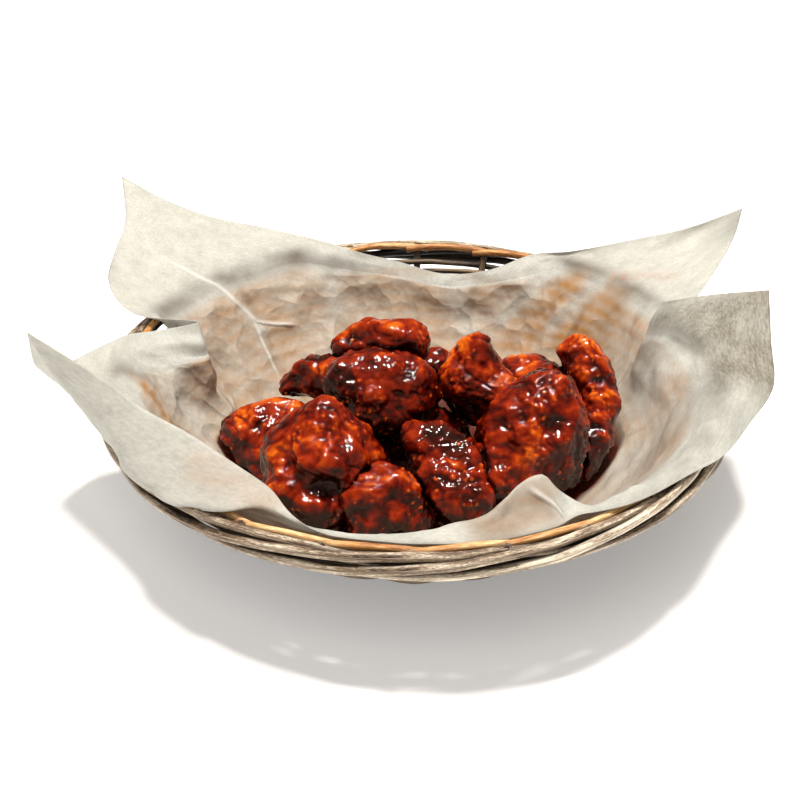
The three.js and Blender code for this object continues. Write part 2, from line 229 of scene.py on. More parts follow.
basket = {
    "stakes": 24,  # uprights, one every 15 degrees
    "wallStart": (58, 3.0),  # radius and height of the wall's middle line at the foot,
    "wallBend": (82, 12),  # the point that its curve bends towards,
    "wallEnd": (114, 46),  # and its top
    "stakeFoot": 7,  # radius at which the stakes start under the coil,
    "stakeTop": (118.2, 51.5),  # where a stake passes through the border,
    "stakeEnd": (120.3, 55.0),  # and its cut end
    # radius of the dark discs of painted shade on the stakes' cut ends
    "hollowShadeRadius": 0.95,
    "stakeRadius": 1.65,
    "baseHeight": 2.9,  # middle of the woven bottom
    "weaverRadius": 1.32,
    "weaverSwing": 1.45,  # how far a weaver swings out over one stake and in behind the next
    "weaverSteps": 8,  # points of its path from stake to stake
    "firstWeaver": 3.5,  # length up the wall at which the weavers start,
    "pitch": 3.0,  # from one to the next,
    "pastEnd": 1.2,  # and how far past the wall's line the last may come
    "topWeaver": (115.1, 47.9),  # radius and height of the top one, just under the border
    "basePitch": 3.3,
    "baseInner": 9,
    "coilTurns": 2.6,  # a coiled rod closes the middle of the bottom
    "coilRadii": (1.2, 7.6),
    "coilRadius": 1.8,
    "wander": 0.45,  # how far the rods stray from their lines
}
border = {
    "radius": 121.8,  # middle of the twisted rods round the rim
    "height": 50.8,
    "tall": 3.35,  # how far the rods' lines swing up and out round it
    "wide": 1.75,
    "lean": 0.17,
    "rods": 4,
    "turns": 3,
    "rodRadius": 1.75,
}
tanStrand = {
    "radius": 117.4,
    "height": 54.2,
    "rodRadius": 1.55,
    "bow": 1.7,  # each length bows up this far between two stakes
    "slip": 1.1,  # how far it comes in from one end to the other
    "overlap": 5,  # degrees by which it runs on under the next one
}
rods = {
    # the seed of their wander and tones, and how many sides they have
    "stakes": {"Seed": 3, "Sides": 8},
    "weavers": {"Seed": 5, "Sides": 7},
    "base_coil": {"Seed": 5, "Sides": 7},
    "border_rods": {"Seed": 8, "Sides": 12},
    "tan_strand": {"Seed": 9, "Sides": 10},
}
willows = {
    # colours in the grain, between and on top; streaks; share of painted shade on the undersides and inner
    # sides
    "weatheredWillow": ("#2c1e14", "#7a644c", "#b79d7a", 5, 0.72),
    "greyBorderWillow": ("#2a1b11", "#866f57", "#f7ead2", 7, 0.72),
    "varnishedTanWillow": ("#8a5222", "#cf9050", "#f6d29c", 4, 0.3),
}


def rodTree():
    # sweeps a round rod along every path, and repeats the paths round the basket
    tree, given, result = newTree("bentRods", {
        "Copies": ("NodeSocketInt", 1),
        "Turn": ("NodeSocketFloat", 0.0),
        "Rod radius": ("NodeSocketFloat", 1.5 * mm),
        "Sides": ("NodeSocketInt", 8),
        "Wander": ("NodeSocketFloat", 0.4 * mm),
        "Wander length": ("NodeSocketFloat", 24 * mm),
        "Seed": ("NodeSocketInt", 1),
        "Material": ("NodeSocketMaterial", None),
    })
    add = partial(addNode, tree)
    line = add("GeometryNodeMeshToCurve", {"Mesh": given["Geometry"]})
    copies = add("GeometryNodeDuplicateElements", {"Geometry": line, "Amount": given["Copies"]},
                 domain="SPLINE")
    angle = add("ShaderNodeMath", {0: copies.outputs["Duplicate Index"], 1: given["Turn"]},
                operation="MULTIPLY")
    position = add("GeometryNodeInputPosition")
    turned = add("ShaderNodeVectorRotate", {"Vector": position, "Angle": angle})
    placed = add("GeometryNodeSetPosition", {"Geometry": copies, "Position": turned})
    # hand-bent rods stray a little, each in its own way
    shift = add("ShaderNodeMath", {0: given["Seed"], 1: 0.37}, operation="MULTIPLY")
    moved = add("ShaderNodeVectorMath", {0: position, 1: shift}, operation="ADD")
    frequency = add("ShaderNodeMath", {0: 1.0, 1: given["Wander length"]}, operation="DIVIDE")
    stray = add("ShaderNodeTexNoise", {"Vector": moved, "Scale": frequency, "Detail": 1})
    centred = add("ShaderNodeVectorMath", {0: stray.outputs["Color"], 1: (0.5, 0.5, 0.5)},
                  operation="SUBTRACT")
    reach = add("ShaderNodeMath", {0: given["Wander"], 1: 3}, operation="MULTIPLY")
    offset = add("ShaderNodeVectorMath", {0: centred, "Scale": reach}, operation="SCALE")
    strayed = add("GeometryNodeSetPosition", {"Geometry": placed, "Offset": offset})
    # the finish reads the place along and around each rod, and a tone for each
    parameter = add("GeometryNodeSplineParameter").outputs
    index = add("GeometryNodeInputIndex")
    chance = add("FunctionNodeRandomValue", {"ID": index, "Seed": given["Seed"]}, data_type="FLOAT")
    ring = add("GeometryNodeCurvePrimitiveCircle", {"Resolution": given["Sides"], "Radius": 1.0})
    curves = {"path": strayed, "ring": ring}
    for curve, domain, name, value in (("path", "POINT", "along", parameter["Length"]),
                                       ("path", "CURVE", "tone", chance),
                                       ("ring", "POINT", "around", parameter["Factor"])):
        curves[curve] = add("GeometryNodeStoreNamedAttribute",
                            {"Geometry": curves[curve], "Name": name, "Value": value},
                            domain=domain, data_type="FLOAT")
    swell = add("ShaderNodeMapRange", {"Value": stray, "To Min": 0.8, "To Max": 1.2})
    thickness = add("ShaderNodeMath", {0: swell, 1: given["Rod radius"]}, operation="MULTIPLY")
    rod = add("GeometryNodeCurveToMesh", {"Curve": curves["path"], "Profile Curve": curves["ring"],
                                          "Scale": thickness, "Fill Caps": True})
    return endTree(tree, rod, given["Material"], result)


def willow(name):
    # Peeled willow rod, bent wet and left to weather. Fibres run along it as fine streaks, shade is painted
    # into the hollows between rods and onto the undersides and inner sides, and the upper sides stay pale
    # and a little shiny.
    dark, mid, light, streak, paintedShadeShare = willows[name]
    material, tree, shader = newMaterial(name)
    add = partial(addNode, tree)
    along, around, tone, sheltered = (
        add("ShaderNodeAttribute", attribute_name=part).outputs["Fac"]
        for part in ("along", "around", "tone", "sheltered"))
    angle = add("ShaderNodeMath", {0: around, 1: 2 * math.pi}, operation="MULTIPLY")
    side = add("ShaderNodeMath", {0: angle}, operation="SINE")
    face = add("ShaderNodeMath", {0: angle}, operation="COSINE")
    length = add("ShaderNodeMath", {0: along, 1: 1 / (14 * mm)}, operation="MULTIPLY")
    lengthOff = add("ShaderNodeMath", {0: tone, 1: 31.0, 2: length}, operation="MULTIPLY_ADD")
    place = add("ShaderNodeCombineXYZ", {"X": lengthOff, "Y": side, "Z": face})
    fibres = add("ShaderNodeTexNoise", {"Vector": place, "Scale": streak, "Detail": 4, "Roughness": 0.65})
    patches = add("ShaderNodeTexNoise", {"Vector": place, "Scale": 0.8, "Detail": 2})
    mixed = add("ShaderNodeMath", {0: patches, 1: fibres}, operation="ADD")
    toned = add("ShaderNodeMath", {0: tone, 1: 0.25, 2: mixed}, operation="MULTIPLY_ADD")
    share = add("ShaderNodeMapRange", {"Value": toned, "From Min": 0.86, "From Max": 1.38})
    colour = add("ShaderNodeValToRGB", {"Fac": share}, stops=[(0.0, dark), (1.0, light), (0.45, mid)])
    # painted shade: undersides, and the sides that face into the basket, are darkened
    normal = add("ShaderNodeNewGeometry").outputs["Normal"]
    spot = add("ShaderNodeTexCoord").outputs["Object"]
    level = add("ShaderNodeVectorMath", {0: spot, 1: (1, 1, 0)}, operation="MULTIPLY")
    outward = add("ShaderNodeVectorMath", {0: level}, operation="NORMALIZE")
    shadedWay = add("ShaderNodeVectorMath", {0: (0, 0, -1), 1: outward}, operation="SUBTRACT")
    shadedSide = add("ShaderNodeVectorMath", {0: normal, 1: shadedWay}, operation="DOT_PRODUCT")
    sideShade = add("ShaderNodeMapRange", {"Value": shadedSide, "From Min": -0.2, "To Max": paintedShadeShare})
    # painted shade in the hollows that the other rods close in
    recessShade = add("ShaderNodeMapRange", {"Value": sheltered, "From Min": 0.2, "From Max": 0.7, "To Max": 0.85})
    both = add("ShaderNodeMath", {0: sideShade, 1: recessShade}, operation="ADD", use_clamp=True)
    shadedColour = add("ShaderNodeMix", {0: both, 6: colour, 7: linear("#150c07")}, data_type="RGBA")
    bump = add("ShaderNodeBump", {"Height": fibres, "Strength": 0.55, "Distance": 0.35 * mm})
    fill(tree, shader, {"Base Color": shadedColour, "Roughness": 0.48, "Specular IOR Level": 0.45, "Normal": bump})
    return material


def stakeEndShade():
    # painted shade: a dark disc over each stake's cut end stands for the shade inside its hollow
    material, tree, shader = newMaterial("willowPith")
    add = partial(addNode, tree)
    spot = add("ShaderNodeTexCoord").outputs["Object"]
    speckle = add("ShaderNodeTexNoise", {"Vector": spot, "Scale": 1 / (0.6 * mm)})
    colour = add("ShaderNodeValToRGB", {"Fac": speckle}, stops=[(0.3, "#1c0805"), (0.7, "#4c1a10")])
    fill(tree, shader, {"Base Color": colour, "Roughness": 0.8})
    top, end = (Vector((basket[key][0], 0, basket[key][1])) * mm for key in ("stakeTop", "stakeEnd"))
    lie = (end - top).to_track_quat("Z", "Y").to_matrix().to_4x4()
    place = Matrix.Translation(end + (end - top).normalized() * 0.04 * mm) @ lie
    work = bmesh.new()
    for stake in range(basket["stakes"]):
        turn = Matrix.Rotation(stake * 2 * math.pi / basket["stakes"], 4, "Z")
        bmesh.ops.create_circle(work, cap_ends=True, segments=12, radius=basket["hollowShadeRadius"] * mm,
                                matrix=turn @ place)
    mesh = bpy.data.meshes.new("pith")
    work.to_mesh(mesh)
    work.free()
    mesh.materials.append(material)
    return newPiece("pith", mesh)


def shelterTree():
    # keeps, as an attribute, how much of the sky over each point other parts of the serving cover
    tree, given, result = newTree("shelteredPlaces", {
        "Cover": ("NodeSocketObject", None),
        "Lift": ("NodeSocketFloat", 0.5 * mm),
        "Reach": ("NodeSocketFloat", 20 * mm),
    })
    add = partial(addNode, tree)
    cover = add("GeometryNodeObjectInfo", {"Object": given["Cover"]}).outputs["Geometry"]
    position = add("GeometryNodeInputPosition")
    normal = add("GeometryNodeInputNormal")
    lifted = add("ShaderNodeVectorMath", {0: normal, "Scale": given["Lift"]}, operation="SCALE")
    start = add("ShaderNodeVectorMath", {0: position, 1: lifted}, operation="ADD")
    rays = [(0, 0, 1)]
    for flat, up in ((0.75, 0.55), (0.9, -0.1)):  # two rings of five round the one that goes up
        turns = [2 * math.pi * k / 5 + up for k in range(5)]
        rays += [(flat * math.cos(turn), flat * math.sin(turn), up) for turn in turns]
    total = 0.0
    for ray in rays:
        way = add("ShaderNodeVectorMath", {0: normal, 1: [0.95 * part for part in ray]}, operation="ADD")
        hit = add("GeometryNodeRaycast", {"Target Geometry": cover, "Source Position": start,
                                          "Ray Direction": way, "Ray Length": given["Reach"]})
        total = add("ShaderNodeMath", {0: hit, 1: 1 / len(rays), 2: total}, operation="MULTIPLY_ADD")
    # blurring takes the rays' steps out of it
    soft = add("GeometryNodeBlurAttribute", {"Value": total, "Iterations": 4})
    noted = add("GeometryNodeStoreNamedAttribute",
                {"Geometry": given["Geometry"], "Name": "sheltered", "Value": soft},
                domain="POINT", data_type="FLOAT")
    fill(tree, result, {"Geometry": noted})
    return tree


def pathMesh(name, paths, closed):
    # one run of edges for each path, for the tree to sweep
    points, edges = [], []
    for path in paths:
        first = len(points)
        points += [tuple(point) for point in np.asarray(path) * mm]
        edges += [(i, i + 1) for i in range(first, len(points) - 1)]
        if closed:
            edges.append((len(points) - 1, first))
    mesh = bpy.data.meshes.new(name)
    mesh.from_pydata(points, edges, [])
    return mesh


def wallCurve(samples=240):
    # the wall's middle line: radius and height, its outward normal, and the length up to each point
    share = np.linspace(0, 1, samples)[:, None]
    start, bend, end = (np.array(basket[key], float) for key in ("wallStart", "wallBend", "wallEnd"))
    line = (1 - share) ** 2 * start + 2 * share * (1 - share) * bend + share ** 2 * end
    length = np.concatenate([[0], np.cumsum(np.linalg.norm(np.diff(line, axis=0), axis=1))])
    along = np.gradient(line, axis=0)
    along /= np.linalg.norm(along, axis=1, keepdims=True)
    return line, np.stack([along[:, 1], -along[:, 0]], axis=1), length


def stakePath():
    # from the middle of the bottom, up the wall and into the border
    line, _, length = wallCurve()
    bottom = np.linspace(basket["stakeFoot"], basket["wallStart"][0] - 4, 12)
    inner = [(radius, basket["baseHeight"]) for radius in bottom]
    wall = [tuple(line[np.searchsorted(length, along)]) for along in np.linspace(2, length[-1] - 0.01, 26)]
    profile = np.array([*inner, *wall, basket["stakeTop"], basket["stakeEnd"]])
    return polar(0, profile[:, 0], profile[:, 1])


def swung(steps, row):
    # a weaver goes in front of one stake and behind the next; the row above does the opposite
    return basket["weaverSwing"] * np.cos(np.radians(steps * basket["stakes"] / 2) + math.pi * row)


def weaverPaths():
    line, outward, length = wallCurve()
    count = basket["stakes"] * basket["weaverSteps"]
    steps = np.arange(count) * 360 / count
    rows = np.arange(basket["firstWeaver"], length[-1] + basket["pastEnd"], basket["pitch"])
    paths = []
    for row, along in enumerate(rows):
        (radius, height), (out, down) = (np.array([np.interp(along, length, column) for column in table.T])
                                         for table in (line, outward))
        swing = swung(steps, row)
        level = np.maximum(height + swing * down, basket["weaverRadius"] + 0.05)  # none goes below the floor
        paths.append(polar(steps, radius + swing * out, level))
    swing = swung(steps, len(rows))
    paths.append(polar(steps, basket["topWeaver"][0] + 0.8 * swing, basket["topWeaver"][1] - 0.5 * swing))
    bottom = np.arange(basket["baseInner"], basket["wallStart"][0], basket["basePitch"])
    for row, radius in enumerate(bottom):
        paths.append(polar(steps, radius, basket["baseHeight"] + swung(steps, row)))
    return paths


def coilPath():
    return polar(np.linspace(0, 360 * basket["coilTurns"], 60), np.linspace(*basket["coilRadii"], 60),
                 basket["baseHeight"])


def borderPath():
    steps = np.arange(0, 360, 1.0)
    phase = np.radians(steps * border["turns"])
    up = border["tall"] * np.sin(phase)
    out = border["wide"] * np.cos(phase) - border["lean"] * up
    return polar(steps, border["radius"] + out, border["height"] + up)


def tanPath():
    # one length: out from under the last one, up over the rim's edge, and in under the next
    share = np.linspace(0, 1, 22)
    steps = -tanStrand["overlap"] / 2 + share * (360 / basket["stakes"] + tanStrand["overlap"])
    rise = tanStrand["bow"] * (np.sin(math.pi * share) - 0.55)
    return polar(steps, tanStrand["radius"] + tanStrand["slip"] * (0.5 - share), tanStrand["height"] + rise)


def makeRods(name, paths, radius, material, closed=False, **values):
    piece = newPiece(name, pathMesh(name, paths, closed))
    made = {"Rod radius": radius * mm, "Wander": basket["wander"] * mm, "Material": material}
    addTree(piece, bentRods, {**made, **rods[name], **values})
    return settle(piece)


def joined(name, parts):
    # one mesh from several
    with bpy.context.temp_override(active_object=parts[0], selected_editable_objects=parts):
        bpy.ops.object.join()
    parts[0].name = parts[0].data.name = name
    return parts[0]


def shelter(pieces, covers, lift, reach):
    # notes on each piece how far the covers' meshes close it in
    work = bmesh.new()
    for cover in covers:
        work.from_mesh(cover.data)
    mesh = bpy.data.meshes.new("cover")
    work.to_mesh(mesh)
    work.free()
    cover = newPiece("cover", mesh)
    for piece in pieces:
        addTree(piece, shelteredPlaces, {"Cover": cover, "Lift": lift * mm, "Reach": reach * mm})
        settle(piece)
    bpy.data.objects.remove(cover)


def placeOn(piece, slot, *replaced):
    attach(piece, "root")
    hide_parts(*replaced)


bentRods = rodTree()
shelteredPlaces = shelterTree()
weathered, greyWillow, tanWillow = (willow(name) for name in willows)
allStakes = {"Copies": basket["stakes"], "Turn": 2 * math.pi / basket["stakes"]}
wall = joined("woven_basket", [
    makeRods("stakes", [stakePath()], basket["stakeRadius"], weathered, **allStakes),
    makeRods("weavers", weaverPaths(), basket["weaverRadius"], weathered, closed=True),
    makeRods("base_coil", [coilPath()], basket["coilRadius"], weathered),
    stakeEndShade(),
])
rim = makeRods("border_rods", [borderPath()], border["rodRadius"], greyWillow, closed=True,
               Copies=border["rods"], Turn=2 * math.pi / border["turns"] / border["rods"])
strand = makeRods("tan_strand", [tanPath()], tanStrand["rodRadius"], tanWillow, **allStakes)
# how far the rods close each other in, for the willow's painted shade
shelter([wall, rim, strand], [wall, rim, strand], 0.45, 8)
placeOn(wall, "willow", "basket_body")
placeOn(rim, "grey_rod", "basket_border")
placeOn(strand, "tan_rod", "basket_trim")
print("basket woven:", sum(len(piece.data.polygons) for piece in (wall, rim, strand)), "faces")


# Deli paper

paper = {
    "flat": (305, 273),  # the sheet before it was laid
    "thickness": 0.22,
    "corners": (9, 38, 139, 201),  # azimuths of the stations that end at its four corners
    "floor": 6,  # its height where it lies on the basket's bottom
    "floorRings": (26, 51),
    "wallFoot": (74, 16),  # radius and height of three rings up the wall,
    "wall": (91.5, 30),
    "neck": (103.5, 46),
    "lip": (112.8, 55.8),  # where it bends out over the rim,
    "cross": (118.5, 58.2),  # and where it rides over it
    "columns": 364,
    "rings": 104,
    # levels count the rings named above from the middle, 0, through the cross, 7, to the edge, 9
    "pressedTo": 2.6,  # the level up to which the pile presses it flat
    "bowlTo": 5.9,  # the level at which it leaves the bowl
    "sharpFrom": 7,  # the level from which its edge runs in four separate curves
    "slack": 0.8,  # soft waves where it isn't pressed on
    "slackWidth": 26,
    "cloudWidth": 9,  # clouds of fibre,
    "fibreWidth": 1.1,  # and single strands, drawn coarser than they are so that they show
    "patchWidth": 20,  # patches that lie closer to the basket
    "facetWidth": 15,  # flat facets of the crumples, which meet in soft ridges
    "facetHeight": 2.6,
}
paperColours = {
    "thin": "#bdbdb5",  # between the clouds of fibre,
    "thick": "#e2e2d9",  # and in them
    "rods": "#ba884e",  # the basket's wall, seen through the paper,
    "stakes": "#5e5348",  # its stakes,
    "border": "#6e6456",  # and its border, also the colour of strokes of painted shade
    "free": "#aca496",  # painted shade on the right front corner
    "smear": "#c98a5c",  # glaze wiped thin,
    "pileShade": "#64200a",  # and painted shade under the pile, coloured as glaze run off the wings
    "paleFold": "#efede4",  # paler along the sharpest folds
}
# One row for each line up the sheet, anticlockwise: at is its azimuth; cross, mid and edge are
# (azimuth, radius, height); wall, neck and lip are (radius, height).
stations = [
    dict(at=242, lip=(109, 55), cross=(242, 112.5, 59), mid=(241.6, 110.5, 60.4), edge=(241, 104.5, 61.4)),
    dict(at=247, cross=(247, 110.5, 54.6), mid=(247, 111.5, 56.2), edge=(247.4, 110, 57.4)),
    dict(at=254, cross=(254, 109.5, 53.4), mid=(254, 112.3, 54.6), edge=(253.8, 114.2, 55.6)),
    dict(at=264, neck=(102, 46), cross=(264, 107.5, 53.4),
         mid=(264, 111.5, 54.6), edge=(264.4, 114.5, 55.4)),
    dict(at=273, neck=(101, 46), cross=(273.4, 105.5, 54.6), mid=(273, 110, 55), edge=(272.8, 114.5, 54.8)),
    dict(at=283, neck=(98, 44), cross=(284.2, 103.5, 57.6), mid=(284, 108, 55.4), edge=(283.5, 114.4, 54)),
    dict(at=290, neck=(93, 44), cross=(292, 98, 64.2), mid=(290, 104, 57.6), edge=(288.5, 114.4, 54)),
    dict(at=296, neck=(92, 44), cross=(296.7, 98, 65.6), mid=(297, 107, 59), edge=(295.5, 114.4, 54.6)),
    dict(at=300, neck=(96, 43), cross=(299.8, 101.5, 59.5), mid=(300, 108.5, 57), edge=(299.4, 114.4, 57)),
    dict(at=304, neck=(99.5, 43.5), lip=(108, 51.5), cross=(303, 111.8, 56.8),
         mid=(303, 114, 58), edge=(302.6, 116.8, 57.8)),
    dict(at=309, neck=(101.5, 44.5), lip=(111, 54.6), cross=(308, 113.6, 57.8),
         mid=(307.6, 116.5, 58.2), edge=(307.2, 119.4, 57.8)),
    dict(at=315, lip=(111.8, 56), cross=(314, 114.6, 58.2), mid=(313.4, 118, 58.4), edge=(312.8, 121.2, 58)),
    dict(at=324, mid=(323.4, 121, 58.4), edge=(322.6, 123.4, 57.8)),
    dict(at=334, mid=(333, 123, 58.2), edge=(331, 127.5, 56.8)),
    dict(at=345, mid=(346, 126, 57.4), edge=(347, 131.5, 51.6)),
    dict(at=355, mid=(356, 131, 57.4), edge=(358.6, 142, 53.5)),
    dict(at=3, cross=(3, 119, 59), mid=(4, 132, 59.5), edge=(6.5, 144.5, 62)),
    dict(at=9, neck=(102.5, 49), cross=(9, 117, 62.5),
         mid=(11.5, 134, 66), edge=(14.7, 150, 74.5)),  # corner
    dict(at=14, neck=(101, 53), cross=(14, 110, 66), mid=(15.6, 117, 70), edge=(17.2, 124, 72.4)),
    dict(at=18, wall=(92.5, 34), neck=(98, 52), cross=(18.2, 101.5, 62),
         mid=(18, 104, 67), edge=(18, 106, 71)),
    dict(at=22, wall=(92, 31), neck=(103, 46), cross=(22, 114, 58.8),
         mid=(22.5, 119, 61), edge=(22.5, 124, 63.4)),
    dict(at=27, mid=(27, 128, 60.5), edge=(26.5, 136, 62.5)),
    dict(at=33, mid=(34.5, 149, 64), edge=(36.3, 177, 68)),
    dict(at=38, mid=(37.8, 152, 68), edge=(37.4, 184, 78.2)),  # corner
    dict(at=44, mid=(42, 137, 66), edge=(39.5, 156, 74)),
    dict(at=50, mid=(48, 127, 62.5), edge=(45.5, 137, 68.6)),
    dict(at=57, mid=(56.5, 121, 59.6), edge=(56, 121, 61)),
    dict(at=63, neck=(101.5, 46), lip=(105, 51.5), cross=(63, 108.5, 55.5),
         mid=(63, 112.3, 57.4), edge=(62.6, 114.6, 59)),
    dict(at=72, neck=(98.5, 45), cross=(72, 102.5, 49.4), mid=(72, 103.5, 50.6), edge=(71.8, 104.6, 52)),
    dict(at=83, neck=(96.5, 43), cross=(83, 99.5, 46.2), mid=(83, 100.8, 47.4), edge=(83, 102, 48.7)),
    dict(at=94, neck=(100.5, 45), cross=(94, 104, 48.6), mid=(94, 105.5, 50.2), edge=(94.3, 107, 51.8)),
    dict(at=103, neck=(102.5, 46), cross=(103, 107, 51.6), mid=(103, 108.6, 53.6), edge=(103, 110, 55.8)),
    dict(at=111, lip=(107.5, 52.5), cross=(111, 111.6, 57.4), mid=(111, 115, 59), edge=(110.6, 118, 59.6)),
    dict(at=119, mid=(120, 127, 60.4), edge=(121.5, 137, 64)),
    dict(at=126, mid=(127.3, 134.5, 62.5), edge=(128.3, 152, 67.5)),
    dict(at=133, mid=(133.4, 144, 66.5), edge=(133.9, 168, 75.6)),
    dict(at=139, mid=(138.3, 152, 70), edge=(137.2, 184, 84.8)),  # corner
    dict(at=146, mid=(144.2, 144, 65), edge=(142, 166, 73)),
    dict(at=152, mid=(150, 138, 61.5), edge=(148.6, 155, 68)),
    dict(at=156, mid=(154, 134, 59.2), edge=(152.6, 151, 60.6)),
    dict(at=160, wall=(91, 30), neck=(102, 46), cross=(160, 115, 58.8),
         mid=(161, 119.5, 59.3), edge=(161.6, 124, 59.6)),
    dict(at=165, wall=(85.5, 30), neck=(87.5, 46), cross=(164.6, 90.5, 54.5),
         mid=(162.8, 92.5, 58), edge=(161.8, 94.5, 61.5)),
    dict(at=169.5, wall=(88.5, 30), neck=(94.5, 46), cross=(168.5, 102, 56),
         mid=(167, 106.5, 58), edge=(166.4, 110.5, 59)),
    dict(at=176, neck=(102, 46), cross=(175, 117, 58.6), mid=(172.5, 118.5, 59.4), edge=(170, 119.5, 60)),
    dict(at=183, cross=(182, 120, 58.2), mid=(179, 124, 59), edge=(175.6, 127, 60.6)),
    dict(at=189, lip=(112.6, 56.6), cross=(188, 121.5, 58.4),
         mid=(183, 129.5, 57.8), edge=(178.5, 137.5, 57)),
    dict(at=194, lip=(112.8, 57.2), cross=(193, 124.5, 57.6),
         mid=(188.4, 137, 59), edge=(184.6, 147.5, 61.8)),
    dict(at=201, lip=(112.8, 57.4), cross=(201, 125, 57.6),
         mid=(193.6, 139, 69), edge=(187.4, 149, 82.5)),  # corner
    dict(at=209, lip=(112.8, 57.4), cross=(209, 126.8, 57.2),
         mid=(206, 128.5, 66.5), edge=(202.4, 124.5, 79.2)),
    dict(at=218, lip=(112.8, 57.4), cross=(218, 128.4, 56.8), mid=(216.5, 127, 64), edge=(213.6, 117, 77)),
    dict(at=228, lip=(112.8, 57.4), cross=(228, 127.6, 56.8),
         mid=(226.6, 123.5, 62.6), edge=(224, 110.5, 74)),
    dict(at=236.5, lip=(112, 57.4), cross=(236.5, 121, 58), mid=(236, 117.5, 61), edge=(234.8, 106.8, 67.6)),
]
# Sharp folds in the sheet: the azimuth and ring number of their ends, height and half width
creases = [
    # a long sharp fold down the back left, and the two it splits into
    ((141, 7.4), (135, 4.4), 2.4, 4.0),
    ((135, 4.4), (124, 4.2), 1.0, 3.4),
    ((135, 4.4), (138, 3.5), 1.3, 3.4),
    ((151, 4.5), (140, 3.3), 1.3, 4.5),
    ((148, 5.6), (139, 5.2), 1.0, 4),
    ((128, 5.4), (116, 5.0), 1.0, 4),
    ((117, 3.1), (113, 6.2), 2.4, 7),
    ((126, 3.6), (112, 3.2), 1.2, 4.5),
    # broad folds that stand off the back wall
    ((87, 3.2), (84, 6.3), 3.0, 8),
    ((66, 3.0), (64, 6.5), 3.6, 9),
    ((51, 3.4), (50, 6.3), 3.0, 7),
    ((37, 3.8), (35, 6.0), 2.0, 6),
    # the bright triangle on the right flap
    ((17, 4.4), (9, 5.6), 1.0, 2.6),
    ((12, 6.2), (4, 6.1), 0.9, 2.4),
    # across the left pleat
    ((174, 6.6), (168, 5.0), 1.6, 4),
    ((178, 6.4), (182, 3.4), 1.6, 5),
    ((186, 6.2), (190, 3.6), 1.2, 5),
    # on the hump at the front
    ((294, 7.2), (297, 8.6), 0.8, 2.2),
    ((288, 7.3), (285, 8.4), 0.6, 2.2),
]
# the sharpest of them, drawn with pale lines along them: the ends, and the half width in mm
foldLines = [
    ((143, 8.0), (133.5, 4.1), 2.1),
    ((138, 4.7), (124, 4.2), 1.7),
    ((136, 4.9), (138, 3.2), 1.5),
    ((292.5, 7.3), (297.5, 8.9), 1.6),
]
tints = {
    # soft strokes as ((azimuth, level), (azimuth, level), width in mm, strength); a minus sign pales
    "laid": [
        ((50, 5.9), (61, 3.9), 6, 0.7),
        ((38, 6.2), (46, 4.2), 5, 0.6),
        ((57, 5.9), (66, 4.2), 3.5, -0.5),
        ((45, 6.0), (51, 4.4), 4, -0.45),
        ((81, 6.0), (75, 3.9), 7, -0.4),
        ((141, 7.0), (135, 4.4), 3.0, -0.5),
        ((113, 4.4), (112, 5.8), 6, -0.4),
        ((171, 5.6), (163, 5.9), 4.5, -0.8),
        ((176, 5.8), (178, 3.8), 9, -0.5),
        ((192, 5.6), (196, 3.8), 9, -0.35),
        ((182, 5.9), (188, 4.6), 3.5, 0.5),
        ((284, 8.1), (294, 8.0), 8, 0.8),
        ((299, 8.0), (303, 8.6), 4, -0.7),
        ((230, 8.6), (242, 8.3), 7, 0.45),
        ((41, 5.9), (37, 4.6), 8, 0.6),
        ((352, 6.4), (346, 3.6), 16, -0.42),
        ((12, 6.2), (10, 4.2), 14, -0.5),
        ((325, 6.0), (328, 3.8), 14, -0.4),
    ],
    "overRim": [
        ((104, 6.1), (118, 6.15), 4.8, 0.5),
        ((118, 6.15), (137, 6.2), 5.2, 0.55),
        ((144, 6.3), (158, 6.45), 4.6, 0.5),
        ((54, 6.5), (46, 6.7), 4.2, 0.6),
        ((41, 6.8), (33, 6.7), 4.2, 0.7),
        ((182, 6.3), (180, 5.7), 4.0, 0.45),
        # the last three are painted shade on the paper, away from the border
        ((37, 6.3), (36, 4.8), 5.0, 0.3),
        ((283, 8.3), (293.5, 8.1), 6.5, 0.5),
        ((352, 5.9), (343, 4.6), 13.0, 0.24),
    ],
    # painted shade in the gap between the wings
    "pooled": [
        ((84, 2.4), (54, 1.7), 8, 1.0),
    ],
    "smeared": [
        ((43, 6.9), (34, 7.6), 2.6, 0.8),
        ((297, 7.6), (291, 7.7), 4.0, 0.3),
        ((358, 5.2), (3, 5.4), 2.0, 0.5),
    ],
}


def curveThrough(points, places, closed=False):
    # centripetal Catmull-Rom through points (n, ..., 3), read at places counted in points
    places = np.asarray(places, float)
    count = len(points)
    if closed:
        index = np.floor(places).astype(int)
        knots = [points[(index + k) % count] for k in (-1, 0, 1, 2)]
    else:
        index = np.minimum(np.floor(places).astype(int), count - 2)
        longer = np.concatenate([[2 * points[0] - points[1]], points, [2 * points[-1] - points[-2]]])
        knots = [longer[index + k] for k in range(4)]
    weight = (places - index).reshape(-1, *[1] * (points.ndim - 1))
    steps = [np.sum((b - a) ** 2, axis=-1, keepdims=True) ** 0.25 for a, b in zip(knots, knots[1:])]
    steps[1] = np.where(steps[1] < 1e-4, 1, steps[1])
    steps[0] = np.where(steps[0] < 1e-4, steps[1], steps[0])
    steps[2] = np.where(steps[2] < 1e-4, steps[1], steps[2])
    a, b, c, d = knots
    before, middle, after = steps
    leave = ((b - a) / before - (c - a) / (before + middle) + (c - b) / middle) * middle
    arrive = ((c - b) / middle - (d - b) / (middle + after) + (d - c) / after) * middle
    return (b + leave * weight + (3 * (c - b) - 2 * leave - arrive) * weight ** 2
            + (2 * (b - c) + leave + arrive) * weight ** 3)


